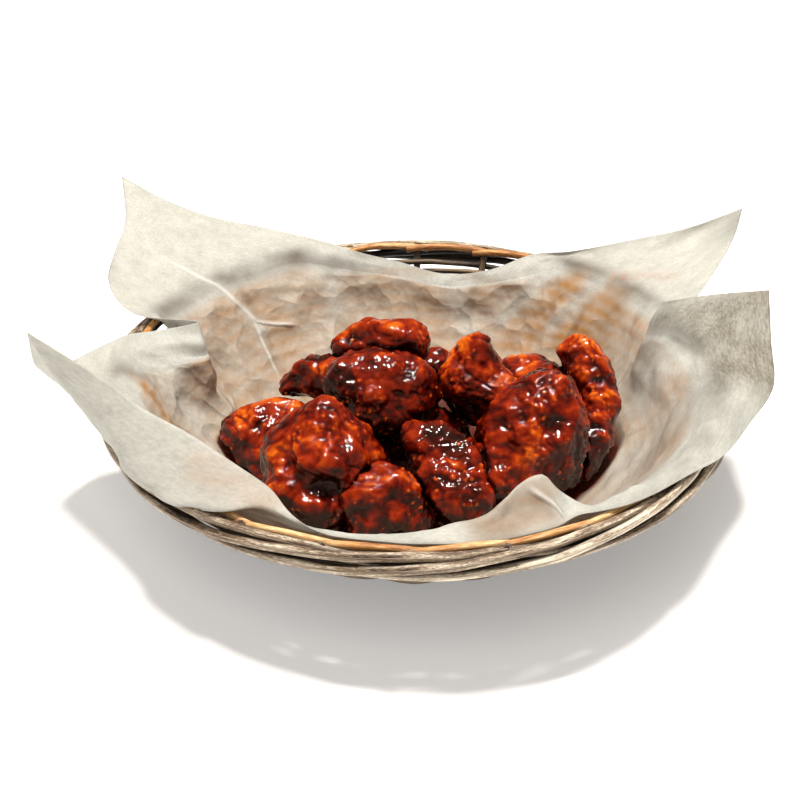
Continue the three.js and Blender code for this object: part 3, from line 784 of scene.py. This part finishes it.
def stationLine(at, mid, edge, wall=paper["wall"], neck=paper["neck"], lip=None, cross=None):
    over = cross or (at, *paper["cross"])
    start, end = polar(at, *neck), polar(*over)
    if lip is None and over[1] > paper["lip"][0]:
        lip = paper["lip"]
    bend = (start + end) / 2 if lip is None else polar(at, *lip)
    floor = [polar(at, radius, paper["floor"]) for radius in (0, *paper["floorRings"])]
    return np.array([*floor, polar(at, *paper["wallFoot"]), polar(at, *wall), start, bend, end,
                     polar(*mid), polar(*edge)])


def cornerStations():
    return [k for k, row in enumerate(stations) if row["at"] in paper["corners"]]


def columnPlaces():
    # station numbers of the columns: every station has one, and the rest share out its gap
    azimuths = [row["at"] for row in stations]
    gaps = [(azimuths[(k + 1) % len(azimuths)] - azimuths[k]) % 360 for k in range(len(azimuths))]
    shares = [max(3, round(gap / 360 * paper["columns"])) for gap in gaps]
    return np.concatenate([k + np.arange(share) / share for k, share in enumerate(shares)])


def sheetPoints():
    lines = np.stack([stationLine(**row) for row in stations], axis=1)
    levels = np.linspace(0, 1, paper["rings"]) ** 0.8 * (len(lines) - 1)
    through = curveThrough(lines, levels).swapaxes(0, 1)
    places = columnPlaces()
    rounded = curveThrough(through, places, closed=True)
    # near its edge the sheet is four separate curves, which meet in sharp corners
    corners = cornerStations()
    pointed = rounded.copy()
    for start, end in zip(corners, [*corners[1:], corners[0] + len(stations)]):
        side = through[np.arange(start, end + 1) % len(stations)]
        walk = (places - start) % len(stations)
        within = walk <= end - start
        pointed[within] = curveThrough(side, walk[within])
    share = ramp(levels, paper["sharpFrom"], 1.7)[None, :, None]
    rings = rounded + (pointed - rounded) * share ** 2 * (3 - 2 * share)
    return rings.swapaxes(0, 1), places, levels


def flatPlaces(rings, places):
    # each point's place on the sheet while it lay flat, for the patterns that follow the paper
    corners = cornerStations()
    width, length = paper["flat"]
    square = np.array([(1, -1), (1, 1), (-1, 1), (-1, -1), (1, -1)]) * (width / 2, length / 2)
    marks = [*corners, corners[0] + len(stations)]
    walk = np.where(places < marks[0], places + len(stations), places)
    edge = np.stack([np.interp(walk, marks, square[:, axis]) for axis in (0, 1)], axis=1)
    lengths = np.concatenate([np.zeros((1, len(places))),
                              np.cumsum(np.linalg.norm(np.diff(rings, axis=0), axis=2), axis=0)])
    return edge[None] * (lengths / lengths[-1])[..., None]


def gridNormals(rings):
    along = np.gradient(rings, axis=0)
    around = np.roll(rings, -1, axis=1) - np.roll(rings, 1, axis=1)
    normals = np.cross(along, around)
    normals[0] = (0, 0, 1)
    return normals / np.maximum(np.linalg.norm(normals, axis=2, keepdims=True), 1e-9)


def softNoise(points, seed, octaves=3):
    # smooth noise of about unit size: a few dozen waves in seeded directions
    random = np.random.default_rng(seed)
    total = np.zeros(points.shape[:-1])
    for octave in range(octaves):
        waves = random.normal(size=(14, 3))
        waves *= 2 ** octave / np.linalg.norm(waves, axis=1, keepdims=True)
        phases = random.uniform(0, 2 * math.pi, 14)
        total += np.sin(points @ waves.T * 2 * math.pi + phases).sum(axis=-1) / 5 / 1.8 ** octave
    return total


def nearest(azimuth, level):
    # ring and column of the sheet's point that is nearest to a place on it
    ring = np.argmin(abs(sheetLevels - level))
    azimuths = np.degrees(np.arctan2(sheetRings[ring, :, 1], sheetRings[ring, :, 0]))
    return ring, np.argmin(abs((azimuths - azimuth + 180) % 360 - 180))


def alongLine(points, start, end):
    # each point's share of the way along a straight line, and its distance from it
    run = end - start
    share = np.clip((points - start) @ run / (run @ run), 0, 1)
    return share, np.linalg.norm(points - start - share[..., None] * run, axis=-1)


def alongStroke(*ends):
    start, end = (sheetRings[nearest(*place)] for place in ends)
    return alongLine(sheetRings, start, end)


def foldRelief():
    # how far each point is pushed up off the sheet by the sharp folds
    relief = np.zeros(sheetRings.shape[:2])
    for start, end, height, width in creases:
        share, off = alongStroke(start, end)
        taper = np.sin(math.pi * np.clip(share, 0.08, 0.92)) ** 0.5
        relief += height * taper * np.maximum(0, 1 - off / width) ** 1.4
    return relief


def strokeShare(strokes):
    # soft strokes of colour on the sheet, added up
    total = np.zeros(sheetRings.shape[:2])
    for start, end, width, strength in strokes:
        total += strength * np.exp(-(alongStroke(start, end)[1] / width) ** 2)
    return total


def lineShare(tree, flat, start, end, width):
    # 1 on a straight line across the flat sheet, fading to 0 at its width and towards its ends
    add = partial(addNode, tree)
    start, end = (np.array([*sheetFlat[nearest(*place)], 0]) * mm for place in (start, end))
    run = end - start
    off = add("ShaderNodeVectorMath", {0: flat, 1: start}, operation="SUBTRACT")
    along = add("ShaderNodeVectorMath", {0: off, 1: run / (run @ run)}, operation="DOT_PRODUCT")
    held = add("ShaderNodeClamp", {"Value": along})
    foot = add("ShaderNodeVectorMath", {0: run, "Scale": held}, operation="SCALE")
    away = add("ShaderNodeVectorMath", {0: off, 1: foot}, operation="DISTANCE")
    line = add("ShaderNodeMapRange", {"Value": away, "From Max": width * mm, "To Min": 1.0, "To Max": 0.0},
               interpolation_type="SMOOTHSTEP")
    left = add("ShaderNodeMath", {0: 1.0, 1: held}, operation="SUBTRACT")
    ends = add("ShaderNodeMath", {0: held, 1: left}, operation="MINIMUM")
    taper = add("ShaderNodeMapRange", {"Value": ends, "From Max": 0.3}, interpolation_type="SMOOTHSTEP")
    return add("ShaderNodeMath", {0: line, 1: taper}, operation="MULTIPLY")


def laidShape():
    # the sheet's points, with its slack and its sharp folds raised from it
    level = sheetLevels[:, None]
    waves = softNoise(sheetRings / paper["slackWidth"], 4)
    slack = np.where(level < paper["pressedTo"], 0, paper["slack"] * np.clip(waves, 0, 1.6))
    fade = ramp(level, paper["pressedTo"], 0.8) * np.clip((9.2 - level) / 2, 0.25, 1)  # weaker at the edge
    raised = slack * fade + foldRelief()
    return sheetRings + gridNormals(sheetRings) * raised[..., None]


def paperShares(shaped):
    # what the finish reads at each point, from 0 to 1
    level = sheetLevels[:, None]
    strokes = {name: strokeShare(rows) for name, rows in tints.items()}
    azimuth = np.degrees(np.arctan2(shaped[..., 1], shaped[..., 0]))
    radius, height = np.hypot(shaped[..., 0], shaped[..., 1]), shaped[..., 2]
    inBowl = ramp(level, paper["bowlTo"], -0.5) * np.ones(radius.shape)
    # the wall shows through where the sheet comes near it, and above the wall there is nothing to show
    line = wallCurve()[0]
    wallGap = (np.interp(height, line[:, 1], line[:, 0]) - radius) * 0.75 - 3
    wallGap = np.where(height > basket["wallEnd"][1] + 4, 12, wallGap)
    laid = np.exp(-(np.maximum(wallGap, 0) / 4.5) ** 1.3)
    laid[sheetLevels < paper["pressedTo"]] *= 0.6  # fainter under the pile
    laid = np.clip(np.maximum(laid, 0.7 * inBowl) + strokes["laid"], 0, 1)
    # so does the border, within about 2 mm, and strokes add painted shade
    rimGap = np.hypot(radius - border["radius"] + 2, height - border["height"] - 1) - border["tall"] - 1.5
    overRim = np.exp(-(np.maximum(rimGap, 0) / 1.6) ** 1.4) + strokes["overRim"]
    # painted shade: the right front corner is made greyer
    free = ramp(azimuth, -9, 8) * ramp(azimuth, 19, -4) * ramp(level, 6.2, 1)
    # the right side lies smooth, and the rest of the bowl's paper is crumpled
    crumpled = inBowl * (1 - 0.75 * np.clip(np.cos(np.radians(azimuth + 12)) * 2.4 - 1.1, 0, 1))
    return {**strokes, "laid": laid, "overRim": overRim, "free": free, "crumpled": crumpled}


def makePaper(material):
    shaped = laidShape()
    rows, columns = sheetRings.shape[:2]
    points = np.concatenate([[[0, 0, paper["floor"]]], shaped[1:].reshape(-1, 3)])
    numbers = np.concatenate([np.zeros(columns, int), np.arange(1, len(points))]).reshape(rows, columns)
    faces, flatCorners = [], []
    for row in range(rows - 1):
        for column in range(columns):
            following = (column + 1) % columns
            corners = [(row, column), (row + 1, column), (row + 1, following), (row, following)]
            if row == 0:
                corners.pop()  # the sheet's middle is one point
            faces.append([int(numbers[corner]) for corner in corners])
            flatCorners += [sheetFlat[corner] * mm for corner in corners]
    mesh = bpy.data.meshes.new("paper_sheet")
    mesh.from_pydata((points * mm).tolist(), [], faces)
    mesh.uv_layers.new(name="flatSheet").data.foreach_set("uv", np.array(flatCorners, np.float32).ravel())
    for name, share in paperShares(shaped).items():
        values = np.concatenate([share[0, :1], share[1:].ravel()]).astype(np.float32)
        mesh.attributes.new(name, "FLOAT", "POINT").data.foreach_set("value", values)
    mesh.shade_smooth()
    mesh.materials.append(material)
    piece = newPiece("paper_sheet", mesh)
    shell = piece.modifiers.new("thickness", "SOLIDIFY")
    shell.thickness = paper["thickness"] * mm
    shell.offset = -1
    return settle(piece)


def deliPaper():
    # Dry-waxed tissue. Clouds of fibre show in its greyish white, light comes through it, and where it
    # is pressed on the basket the rods show through as tan bands. Wax gives it a dull sheen.
    material, tree, shader = newMaterial("dryWaxedTissue")
    add = partial(addNode, tree)
    flat = add("ShaderNodeUVMap", uv_map="flatSheet")
    spot = add("ShaderNodeTexCoord").outputs["Object"]
    read = {name: add("ShaderNodeAttribute", attribute_name=name).outputs["Fac"]
            for name in ("laid", "overRim", "free", "pooled", "smeared", "crumpled", "sheltered")}
    clouds = add("ShaderNodeTexNoise",
                 {"Vector": flat, "Scale": 1 / (paper["cloudWidth"] * mm), "Detail": 6, "Roughness": 0.7})
    grain = add("ShaderNodeMapping", {"Vector": flat, "Scale": (0.6, 1, 1)})
    fibre = add("ShaderNodeTexNoise", {"Vector": grain, "Scale": 1 / (paper["fibreWidth"] * mm), "Detail": 3,
                                       "Roughness": 0.7, "Distortion": 0.3})
    mottle = add("ShaderNodeMath", {0: fibre, 1: clouds}, operation="ADD")
    share = add("ShaderNodeMapRange", {"Value": mottle, "From Min": 0.65, "From Max": 1.3})
    colour = add("ShaderNodeValToRGB", {"Fac": share},
                 stops=[(0, paperColours["thin"]), (1, paperColours["thick"])])
    # the rods' rows and the stakes behind the sheet, where it lies close
    parts = add("ShaderNodeSeparateXYZ", {"Vector": spot}).outputs
    azimuth = add("ShaderNodeMath", {0: parts["Y"], 1: parts["X"]}, operation="ARCTAN2")
    stakes = add("ShaderNodeMath", {0: azimuth, 1: basket["stakes"]}, operation="MULTIPLY")
    overStake = add("ShaderNodeMath", {0: stakes}, operation="COSINE")
    course = add("ShaderNodeMath", {0: parts["Z"], 1: math.pi / (basket["pitch"] * 0.72 * mm)},
                 operation="MULTIPLY")
    rows = add("ShaderNodeMath", {0: course}, operation="COSINE")
    patchy = add("ShaderNodeTexNoise",
                 {"Vector": spot, "Scale": 1 / (paper["patchWidth"] * mm), "Detail": 3})
    closeness = add("ShaderNodeMapRange",
                    {"Value": patchy, "From Min": 0.35, "From Max": 0.62, "To Min": 0.6})
    woven = add("ShaderNodeMath", {0: rows, 1: 0.14, 2: 0.86}, operation="MULTIPLY_ADD")
    near = add("ShaderNodeMath", {0: read["laid"], 1: closeness}, operation="MULTIPLY")
    through = add("ShaderNodeMath", {0: near, 1: woven}, operation="MULTIPLY", use_clamp=True)
    stake = add("ShaderNodeMapRange", {"Value": overStake, "From Min": 0.82, "To Max": 0.5})
    pressed = add("ShaderNodeMapRange", {"Value": patchy, "From Min": 0.45, "From Max": 0.6})
    touching = add("ShaderNodeMath", {0: pressed, 1: through}, operation="MULTIPLY")
    stakeSeen = add("ShaderNodeMath", {0: stake, 1: touching}, operation="MULTIPLY")
    # the border seen through the paper, and the strokes of painted shade
    rimAndShade = add("ShaderNodeMath", {0: read["overRim"], 1: closeness}, operation="MULTIPLY")
    for share, name in ((through, "rods"), (stakeSeen, "stakes"), (rimAndShade, "border")):
        colour = add("ShaderNodeMix", {0: share, 6: colour, 7: linear(paperColours[name])}, data_type="RGBA")
    # painted shade: the right front corner greyer, less so where the fibre is thick
    thick = add("ShaderNodeMapRange",
                {"Value": mottle, "From Min": 0.8, "From Max": 1.15, "To Min": 1.0, "To Max": 0.6})
    flapShadeShare = add("ShaderNodeMath", {0: read["free"], 1: thick}, operation="MULTIPLY")
    flapShade = add("ShaderNodeMix", {0: flapShadeShare, 6: (1, 1, 1, 1), 7: linear(paperColours["free"])},
                 data_type="RGBA")
    colour = add("ShaderNodeMix", {0: 1.0, 6: colour, 7: flapShade}, data_type="RGBA", blend_type="MULTIPLY")
    # glaze: a thin smear that the fibres take up; and painted shade under and between the wings, a dark
    # glaze-coloured stain with a ragged edge
    wiped = add("ShaderNodeMapRange", {"Value": fibre, "From Min": 0.48, "From Max": 0.62})
    smear = add("ShaderNodeMath", {0: read["smeared"], 1: wiped}, operation="MULTIPLY", use_clamp=True)
    # painted shadow where the wings cover the paper's sky
    under = add("ShaderNodeMapRange", {"Value": read["sheltered"], "From Min": 0.66, "From Max": 0.82})
    ragged = add("ShaderNodeMath", {0: clouds, 1: 1.2, 2: read["pooled"]}, operation="MULTIPLY_ADD")
    stained = add("ShaderNodeMapRange", {"Value": ragged, "From Min": 0.92, "From Max": 1.04})
    pooled = add("ShaderNodeMath", {0: under, 1: stained}, operation="ADD", use_clamp=True)
    ridge = 0.0
    for line in foldLines:
        ridge = add("ShaderNodeMath", {0: lineShare(tree, flat, *line), 1: ridge}, operation="MAXIMUM")
    paleFold = add("ShaderNodeMath", {0: ridge, 1: 0.7}, operation="MULTIPLY")
    for share, name in ((smear, "smear"), (pooled, "pileShade"), (paleFold, "paleFold")):
        colour = add("ShaderNodeMix", {0: share, 6: colour, 7: linear(paperColours[name])}, data_type="RGBA")
    # crumples, bent a little by the patches
    bent = add("ShaderNodeVectorMath", {0: patchy.outputs["Color"], "Scale": 22 * mm}, operation="SCALE")
    place = add("ShaderNodeVectorMath", {0: flat, 1: bent}, operation="ADD")
    facets = add("ShaderNodeTexVoronoi",
                 {"Vector": place, "Scale": 1 / (paper["facetWidth"] * mm), "Smoothness": 0.08},
                 feature="SMOOTH_F1")
    crumple = add("ShaderNodeMath", {0: facets, 1: read["crumpled"]}, operation="MULTIPLY")
    creased = add("ShaderNodeMath", {0: ridge, 1: 0.3, 2: crumple}, operation="MULTIPLY_ADD")
    bump = add("ShaderNodeBump", {"Height": creased, "Strength": 1.0, "Distance": paper["facetHeight"] * mm})
    fine = add("ShaderNodeBump", {"Height": fibre, "Strength": 0.2, "Distance": 0.1 * mm, "Normal": bump})
    fill(tree, shader, {"Base Color": colour, "Roughness": 0.5, "Specular IOR Level": 0.3, "Normal": fine})
    glow = add("ShaderNodeBsdfTranslucent", {"Color": colour, "Normal": fine})
    both = add("ShaderNodeMixShader", {0: 0.3, 1: shader, 2: glow})
    fill(tree, tree.nodes["Material Output"], {"Surface": both})
    return material


sheetRings, sheetPlaces, sheetLevels = sheetPoints()
sheetFlat = flatPlaces(sheetRings, sheetPlaces)
sheet = makePaper(deliPaper())
# how far the wings close the paper in, for its painted shadow under the pile
shelter([sheet], [node for name, node in nodes.items() if name.startswith("wing_")], 0.6, 60)
placeOn(sheet, "deli_paper", "paper_liner")
print("paper laid:", len(sheet.data.polygons), "faces")


# Wings

batter = {
    "voxel": 1.25,  # the plain solid is remeshed at this size,
    "smoothing": 5,  # smoothed so many times, and then divided once
    "relief": {
        "Lump height": 1.0, "Lump width": 10,
        "Fold depth": 0.6, "Fold width": 20,
        "Crag height": 0.42, "Crag width": 2.3,
        "Grain height": 0.5, "Grain width": 1.6,
        "Crumb height": 0.35, "Crumb width": 2.2,
    },
    "cragPatch": 13,  # width of the patches that crags and crumbs stand in
    "crumbChance": 0.16,
    "seedStep": 0.731,
}
glaze = {
    "patchWidth": 13,  # of its thick and thin places
    "pimpleWidth": 1.6,  # of the crust under it
    "pimpleHeight": 0.5,
    "rippleWidth": 2.6,  # soft ripples of the wet coat
    "rippleHeight": 0.16,
    # how far each of these lightens it towards the batter; the darker folds are partly glaze that pools,
    # partly painted shade
    # up is painted light on what faces up, and sheltered is painted shade where the pile closes it in
    "thins": {"crag": 0.16, "fine": 0.2, "fold": 0.16, "lump": 0.15, "sheltered": -0.38, "up": 0.13},
    "thickAt": 0.28,  # the sum at which it looks its darkest,
    "thinAt": 0.98,  # and the one at which the batter shows
    "colours": [(0.0, "#1c0401"), (1.0, "#e28c24"), (0.28, "#400a03"), (0.5, "#731d04"), (0.7, "#9a3806"),
                (0.86, "#c66a10")],
    "crumb": "#cc6c1e",
    "tint": "#ffbd88",
}
# how much lighter (plus) or darker (minus) the glaze is made on these wings
thinGlaze = {"wing_middle": -0.1, "wing_top": -0.06, "wing_drumette": -0.09, "wing_front_middle": -0.03,
             "wing_right": -0.02, "wing_far_right": 0.05, "wing_knuckle": 0.1}
# hollows (minus) and ridges (plus) as (from, to, width, height), the places being on the wing's skin
marks = {
    "wing_front_left": [
        ((-37.5, -55.8, 38.3), (-32.5, -55.6, 37), 4.8, -3.8),
        ((-43, -51.5, 43), (-29, -50.5, 43.5), 4.0, 2.4),
        ((-41, -58, 32), (-35, -58.5, 31.5), 4.5, 1.6),
        ((-33.5, -38, 58), (-31, -50, 48), 3.5, 1.0),
        ((-52, -43, 46), (-44, -50, 40), 3.0, -1.6),
    ],
    "wing_top": [
        ((-32, 19.3, 61.5), (-23, 18.5, 62), 4.5, -2.4),
        ((-19, 21, 65), (-10, 17, 64), 4.5, 1.6),
    ],
    "wing_right": [
        ((42, -27.5, 45), (52, -20.5, 54), 3.4, 1.5),
        ((46, -31, 41), (57, -24, 49.5), 3.2, -1.8),
        ((35.5, -26, 47), (33.5, -33.5, 36.5), 3.4, -1.2),
        ((29, -27, 43), (29.5, -30, 38), 4.0, 1.3),
        ((48, -38, 33), (56, -34, 38), 3.5, -1.4),
    ],
    "wing_front_middle": [
        ((-12, -46, 41), (-1, -55, 34), 3.6, 1.4),
        ((-14, -52, 38.5), (-6, -59, 31), 3.4, -1.6),
    ],
    "wing_middle": [
        ((-26, -10, 47), (-14, -15, 46), 4.5, -1.8),
        ((-16, -3, 57), (-2, -6, 55), 5.0, 1.2),
    ],
    "wing_far_right": [
        ((66, 8, 55), (72, -4, 47), 2.8, 1.2),
        ((70, 9, 54), (76, -3, 46), 2.4, -1.2),
    ],
}


def batterTree():
    # raises a wing's coating into lumps, folds, crags, grain and crumbs, and notes them as attributes
    tree, given, result = newTree("craggyBatter", {
        "Seed": ("NodeSocketFloat", 1.0),
        **{name: ("NodeSocketFloat", 1.0) for name in batter["relief"]},
        "Material": ("NodeSocketMaterial", None),
    })
    add = partial(addNode, tree)
    position = add("GeometryNodeInputPosition")
    normal = add("GeometryNodeInputNormal")
    place = add("ShaderNodeVectorMath", {0: position, 1: given["Seed"]}, operation="ADD")
    scale = {layer: add("ShaderNodeMath", {0: 1.0, 1: given[layer + " width"]}, operation="DIVIDE")
             for layer in ("Lump", "Fold", "Crag", "Grain", "Crumb")}

    def raised(geometry, height):
        offset = add("ShaderNodeVectorMath", {0: normal, "Scale": height}, operation="SCALE")
        return add("GeometryNodeSetPosition", {"Geometry": geometry, "Offset": offset})

    lumps = add("ShaderNodeTexNoise",
                {"Vector": place, "Scale": scale["Lump"], "Detail": 1.6, "Roughness": 0.55})
    lump = add("ShaderNodeMapRange", {"Value": lumps, "From Min": 0.3, "From Max": 0.7, "To Min": -1.0},
               clamp=False)
    lumpUp = add("ShaderNodeMath", {0: lump, 1: given["Lump height"]}, operation="MULTIPLY")
    # a fold is a narrow valley where a twisted noise passes its middle
    twisted = add("ShaderNodeTexNoise",
                  {"Vector": place, "Scale": scale["Fold"], "Detail": 1, "Distortion": 1.6})
    middle = add("ShaderNodeMath", {0: twisted, 1: 0.5}, operation="SUBTRACT")
    away = add("ShaderNodeMath", {0: middle}, operation="ABSOLUTE")
    fold = add("ShaderNodeMapRange", {"Value": away, "From Max": 0.11, "To Min": -1.0, "To Max": 0.0},
               interpolation_type="SMOOTHSTEP")
    foldUp = add("ShaderNodeMath", {0: fold, 1: given["Fold depth"], 2: lumpUp}, operation="MULTIPLY_ADD")
    geometry = raised(given["Geometry"], foldUp)
    # crags stand only in some patches; smooth glaze lies between them
    masks = add("ShaderNodeTexNoise",
                {"Vector": place, "Scale": 1 / (batter["cragPatch"] * mm), "Detail": 1})
    rough = add("ShaderNodeMapRange", {"Value": masks, "From Min": 0.42, "From Max": 0.6, "To Min": 0.12})
    cells = add("ShaderNodeTexVoronoi", {"Vector": place, "Scale": scale["Crag"], "Smoothness": 0.6},
                feature="SMOOTH_F1")
    dome = add("ShaderNodeMapRange",
               {"Value": cells, "From Min": 0.1, "From Max": 0.75, "To Min": 1.0, "To Max": -0.4})
    crag = add("ShaderNodeMath", {0: dome, 1: rough}, operation="MULTIPLY")
    cragUp = add("ShaderNodeMath", {0: crag, 1: given["Crag height"]}, operation="MULTIPLY")
    grains = add("ShaderNodeTexNoise", {"Vector": place, "Scale": scale["Grain"], "Detail": 2})
    grain = add("ShaderNodeMath", {0: grains, 1: 0.5}, operation="SUBTRACT")
    grainMasked = add("ShaderNodeMath", {0: grain, 1: rough}, operation="MULTIPLY")
    grainUp = add("ShaderNodeMath", {0: grainMasked, 1: given["Grain height"], 2: cragUp},
                  operation="MULTIPLY_ADD")
    # a few cells hold a loose crumb
    bent = add("ShaderNodeVectorMath", {0: grains.outputs["Color"], "Scale": 1.6 * mm}, operation="SCALE")
    uneven = add("ShaderNodeVectorMath", {0: place, 1: bent}, operation="ADD")
    crumbs = add("ShaderNodeTexVoronoi", {"Vector": uneven, "Scale": scale["Crumb"]}, feature="F1")
    chance = add("FunctionNodeSeparateColor", {"Color": crumbs.outputs["Color"]})
    chosenShare = add("ShaderNodeMath", {0: rough, 1: batter["crumbChance"]}, operation="MULTIPLY")
    chosen = add("ShaderNodeMath", {0: chance, 1: chosenShare}, operation="LESS_THAN")
    bead = add("ShaderNodeMapRange",
               {"Value": crumbs, "From Min": 0.15, "From Max": 0.45, "To Min": 1.0, "To Max": 0.0},
               interpolation_type="SMOOTHSTEP")
    crumb = add("ShaderNodeMath", {0: bead, 1: chosen}, operation="MULTIPLY")
    crumbUp = add("ShaderNodeMath", {0: crumb, 1: given["Crumb height"], 2: grainUp},
                  operation="MULTIPLY_ADD")
    for name, value in (("lump", lump), ("fold", fold), ("crag", crag), ("crumb", crumb)):
        geometry = add("GeometryNodeStoreNamedAttribute",
                       {"Geometry": geometry, "Name": name, "Value": value},
                       domain="POINT", data_type="FLOAT")
    return endTree(tree, raised(geometry, crumbUp), given["Material"], result)


def chilliGlaze():
    # Fried batter under a sticky chilli glaze. The glaze is a clear dark red-brown coat that pools in the
    # folds; the batter's crags and crumbs show orange through its thin places, and it shines wet. Painted
    # light and shade also lighten what faces up and darken what the pile closes in.
    material, tree, shader = newMaterial("stickyChilliGlaze")
    add = partial(addNode, tree)
    spot = add("ShaderNodeTexCoord").outputs["Object"]
    read = {name: add("ShaderNodeAttribute", attribute_name=name).outputs["Fac"]
            for name in ("lump", "fold", "crag", "crumb", "sheltered", "thinGlaze")}
    broad = add("ShaderNodeTexNoise",
                {"Vector": spot, "Scale": 1 / (glaze["patchWidth"] * mm), "Detail": 3, "Distortion": 0.6})
    read["fine"] = add("ShaderNodeTexNoise", {"Vector": spot, "Scale": 1 / (glaze["pimpleWidth"] * mm),
                                              "Detail": 4, "Roughness": 0.65})
    # painted light: lighter where the surface faces up
    normal = add("ShaderNodeNewGeometry").outputs["Normal"]
    read["up"] = add("ShaderNodeSeparateXYZ", {"Vector": normal}).outputs["Z"]
    seen = broad
    for name, weight in glaze["thins"].items():
        seen = add("ShaderNodeMath", {0: read[name], 1: weight, 2: seen}, operation="MULTIPLY_ADD")
    seen = add("ShaderNodeMath", {0: seen, 1: read["thinGlaze"]}, operation="ADD")
    share = add("ShaderNodeMapRange",
                {"Value": seen, "From Min": glaze["thickAt"], "From Max": glaze["thinAt"]})
    colour = add("ShaderNodeValToRGB", {"Fac": share}, stops=glaze["colours"])
    crumbed = add("ShaderNodeMix", {0: read["crumb"], 6: colour, 7: linear(glaze["crumb"])},
                  data_type="RGBA")
    pimples = add("ShaderNodeBump", {"Height": read["fine"], "Strength": 0.6,
                                     "Distance": glaze["pimpleHeight"] * mm})
    ripples = add("ShaderNodeTexNoise",
                  {"Vector": spot, "Scale": 1 / (glaze["rippleWidth"] * mm), "Detail": 0.5})
    coat = add("ShaderNodeBump",
               {"Height": ripples, "Strength": 1.0, "Distance": glaze["rippleHeight"] * mm})
    fill(tree, shader, {
        "Base Color": crumbed,
        "Roughness": 0.42,
        "Specular IOR Level": 0.08,
        "Normal": pimples,
        "Coat Weight": 0.8,
        "Coat Roughness": 0.03,
        "Coat Tint": linear(glaze["tint"]),
        "Coat IOR": 1.48,
        "Coat Normal": coat,
        "Subsurface Weight": 0.12,
        "Subsurface Radius": (1.0, 0.25, 0.08),
        "Subsurface Scale": 1.2 * mm,
    })
    return material


def pressMarks(piece, strokes):
    # moves a wing's skin in or out along the strokes
    count = len(piece.data.vertices)
    spots, normals = np.empty(count * 3, np.float32), np.empty(count * 3, np.float32)
    piece.data.vertices.foreach_get("co", spots)
    piece.data.vertex_normals.foreach_get("vector", normals)
    spots, normals = spots.reshape(-1, 3) / mm, normals.reshape(-1, 3)
    height = np.zeros(count)
    for start, end, width, rise in strokes:
        off = alongLine(spots, np.array(start, float), np.array(end, float))[1]
        height += rise * np.exp(-(off / width) ** 2)
    pressed = (spots + normals * height[:, None]) * mm
    piece.data.vertices.foreach_set("co", pressed.astype(np.float32).ravel())
    piece.data.update()


def makeWing(name, seed, material):
    mesh = nodes[name].data.copy()
    work = bmesh.new()
    work.from_mesh(mesh)
    bmesh.ops.remove_doubles(work, verts=work.verts, dist=0.01 * mm)
    work.to_mesh(mesh)
    work.free()
    mesh.materials.clear()
    piece = newPiece(name.replace("wing", "glazed"), mesh)
    voxels = piece.modifiers.new("even", "REMESH")
    voxels.mode = "VOXEL"
    voxels.voxel_size = batter["voxel"] * mm
    soft = piece.modifiers.new("soft", "SMOOTH")
    soft.factor = 0.5
    soft.iterations = batter["smoothing"]
    dense = piece.modifiers.new("dense", "SUBSURF")
    dense.levels = dense.render_levels = 1
    pressMarks(settle(piece), marks.get(name, []))
    glazed = piece.data.attributes.new("thinGlaze", "FLOAT", "POINT")
    glazed.data.foreach_set("value", [thinGlaze.get(name, 0)] * len(piece.data.vertices))
    addTree(piece, craggyBatter, {"Seed": seed * batter["seedStep"], "Material": material,
                                  **{part: size * mm for part, size in batter["relief"].items()}})
    return settle(piece)


craggyBatter = batterTree()
chilliCoat = chilliGlaze()
wings = [name for name in sorted(nodes) if name.startswith("wing_")]
pile = [makeWing(name, seed, chilliCoat) for seed, name in enumerate(wings, 1)]
# how far the pile closes each wing in, for the glaze's painted shade
shelter(pile, [nodes[name] for name in (*wings, "paper_liner")], 2.4, 26)
for name, wing in zip(wings, pile):
    placeOn(wing, "glazed_wing", name)
print("wings glazed:", len(wings), "pieces,", sum(len(wing.data.polygons) for wing in pile), "faces")
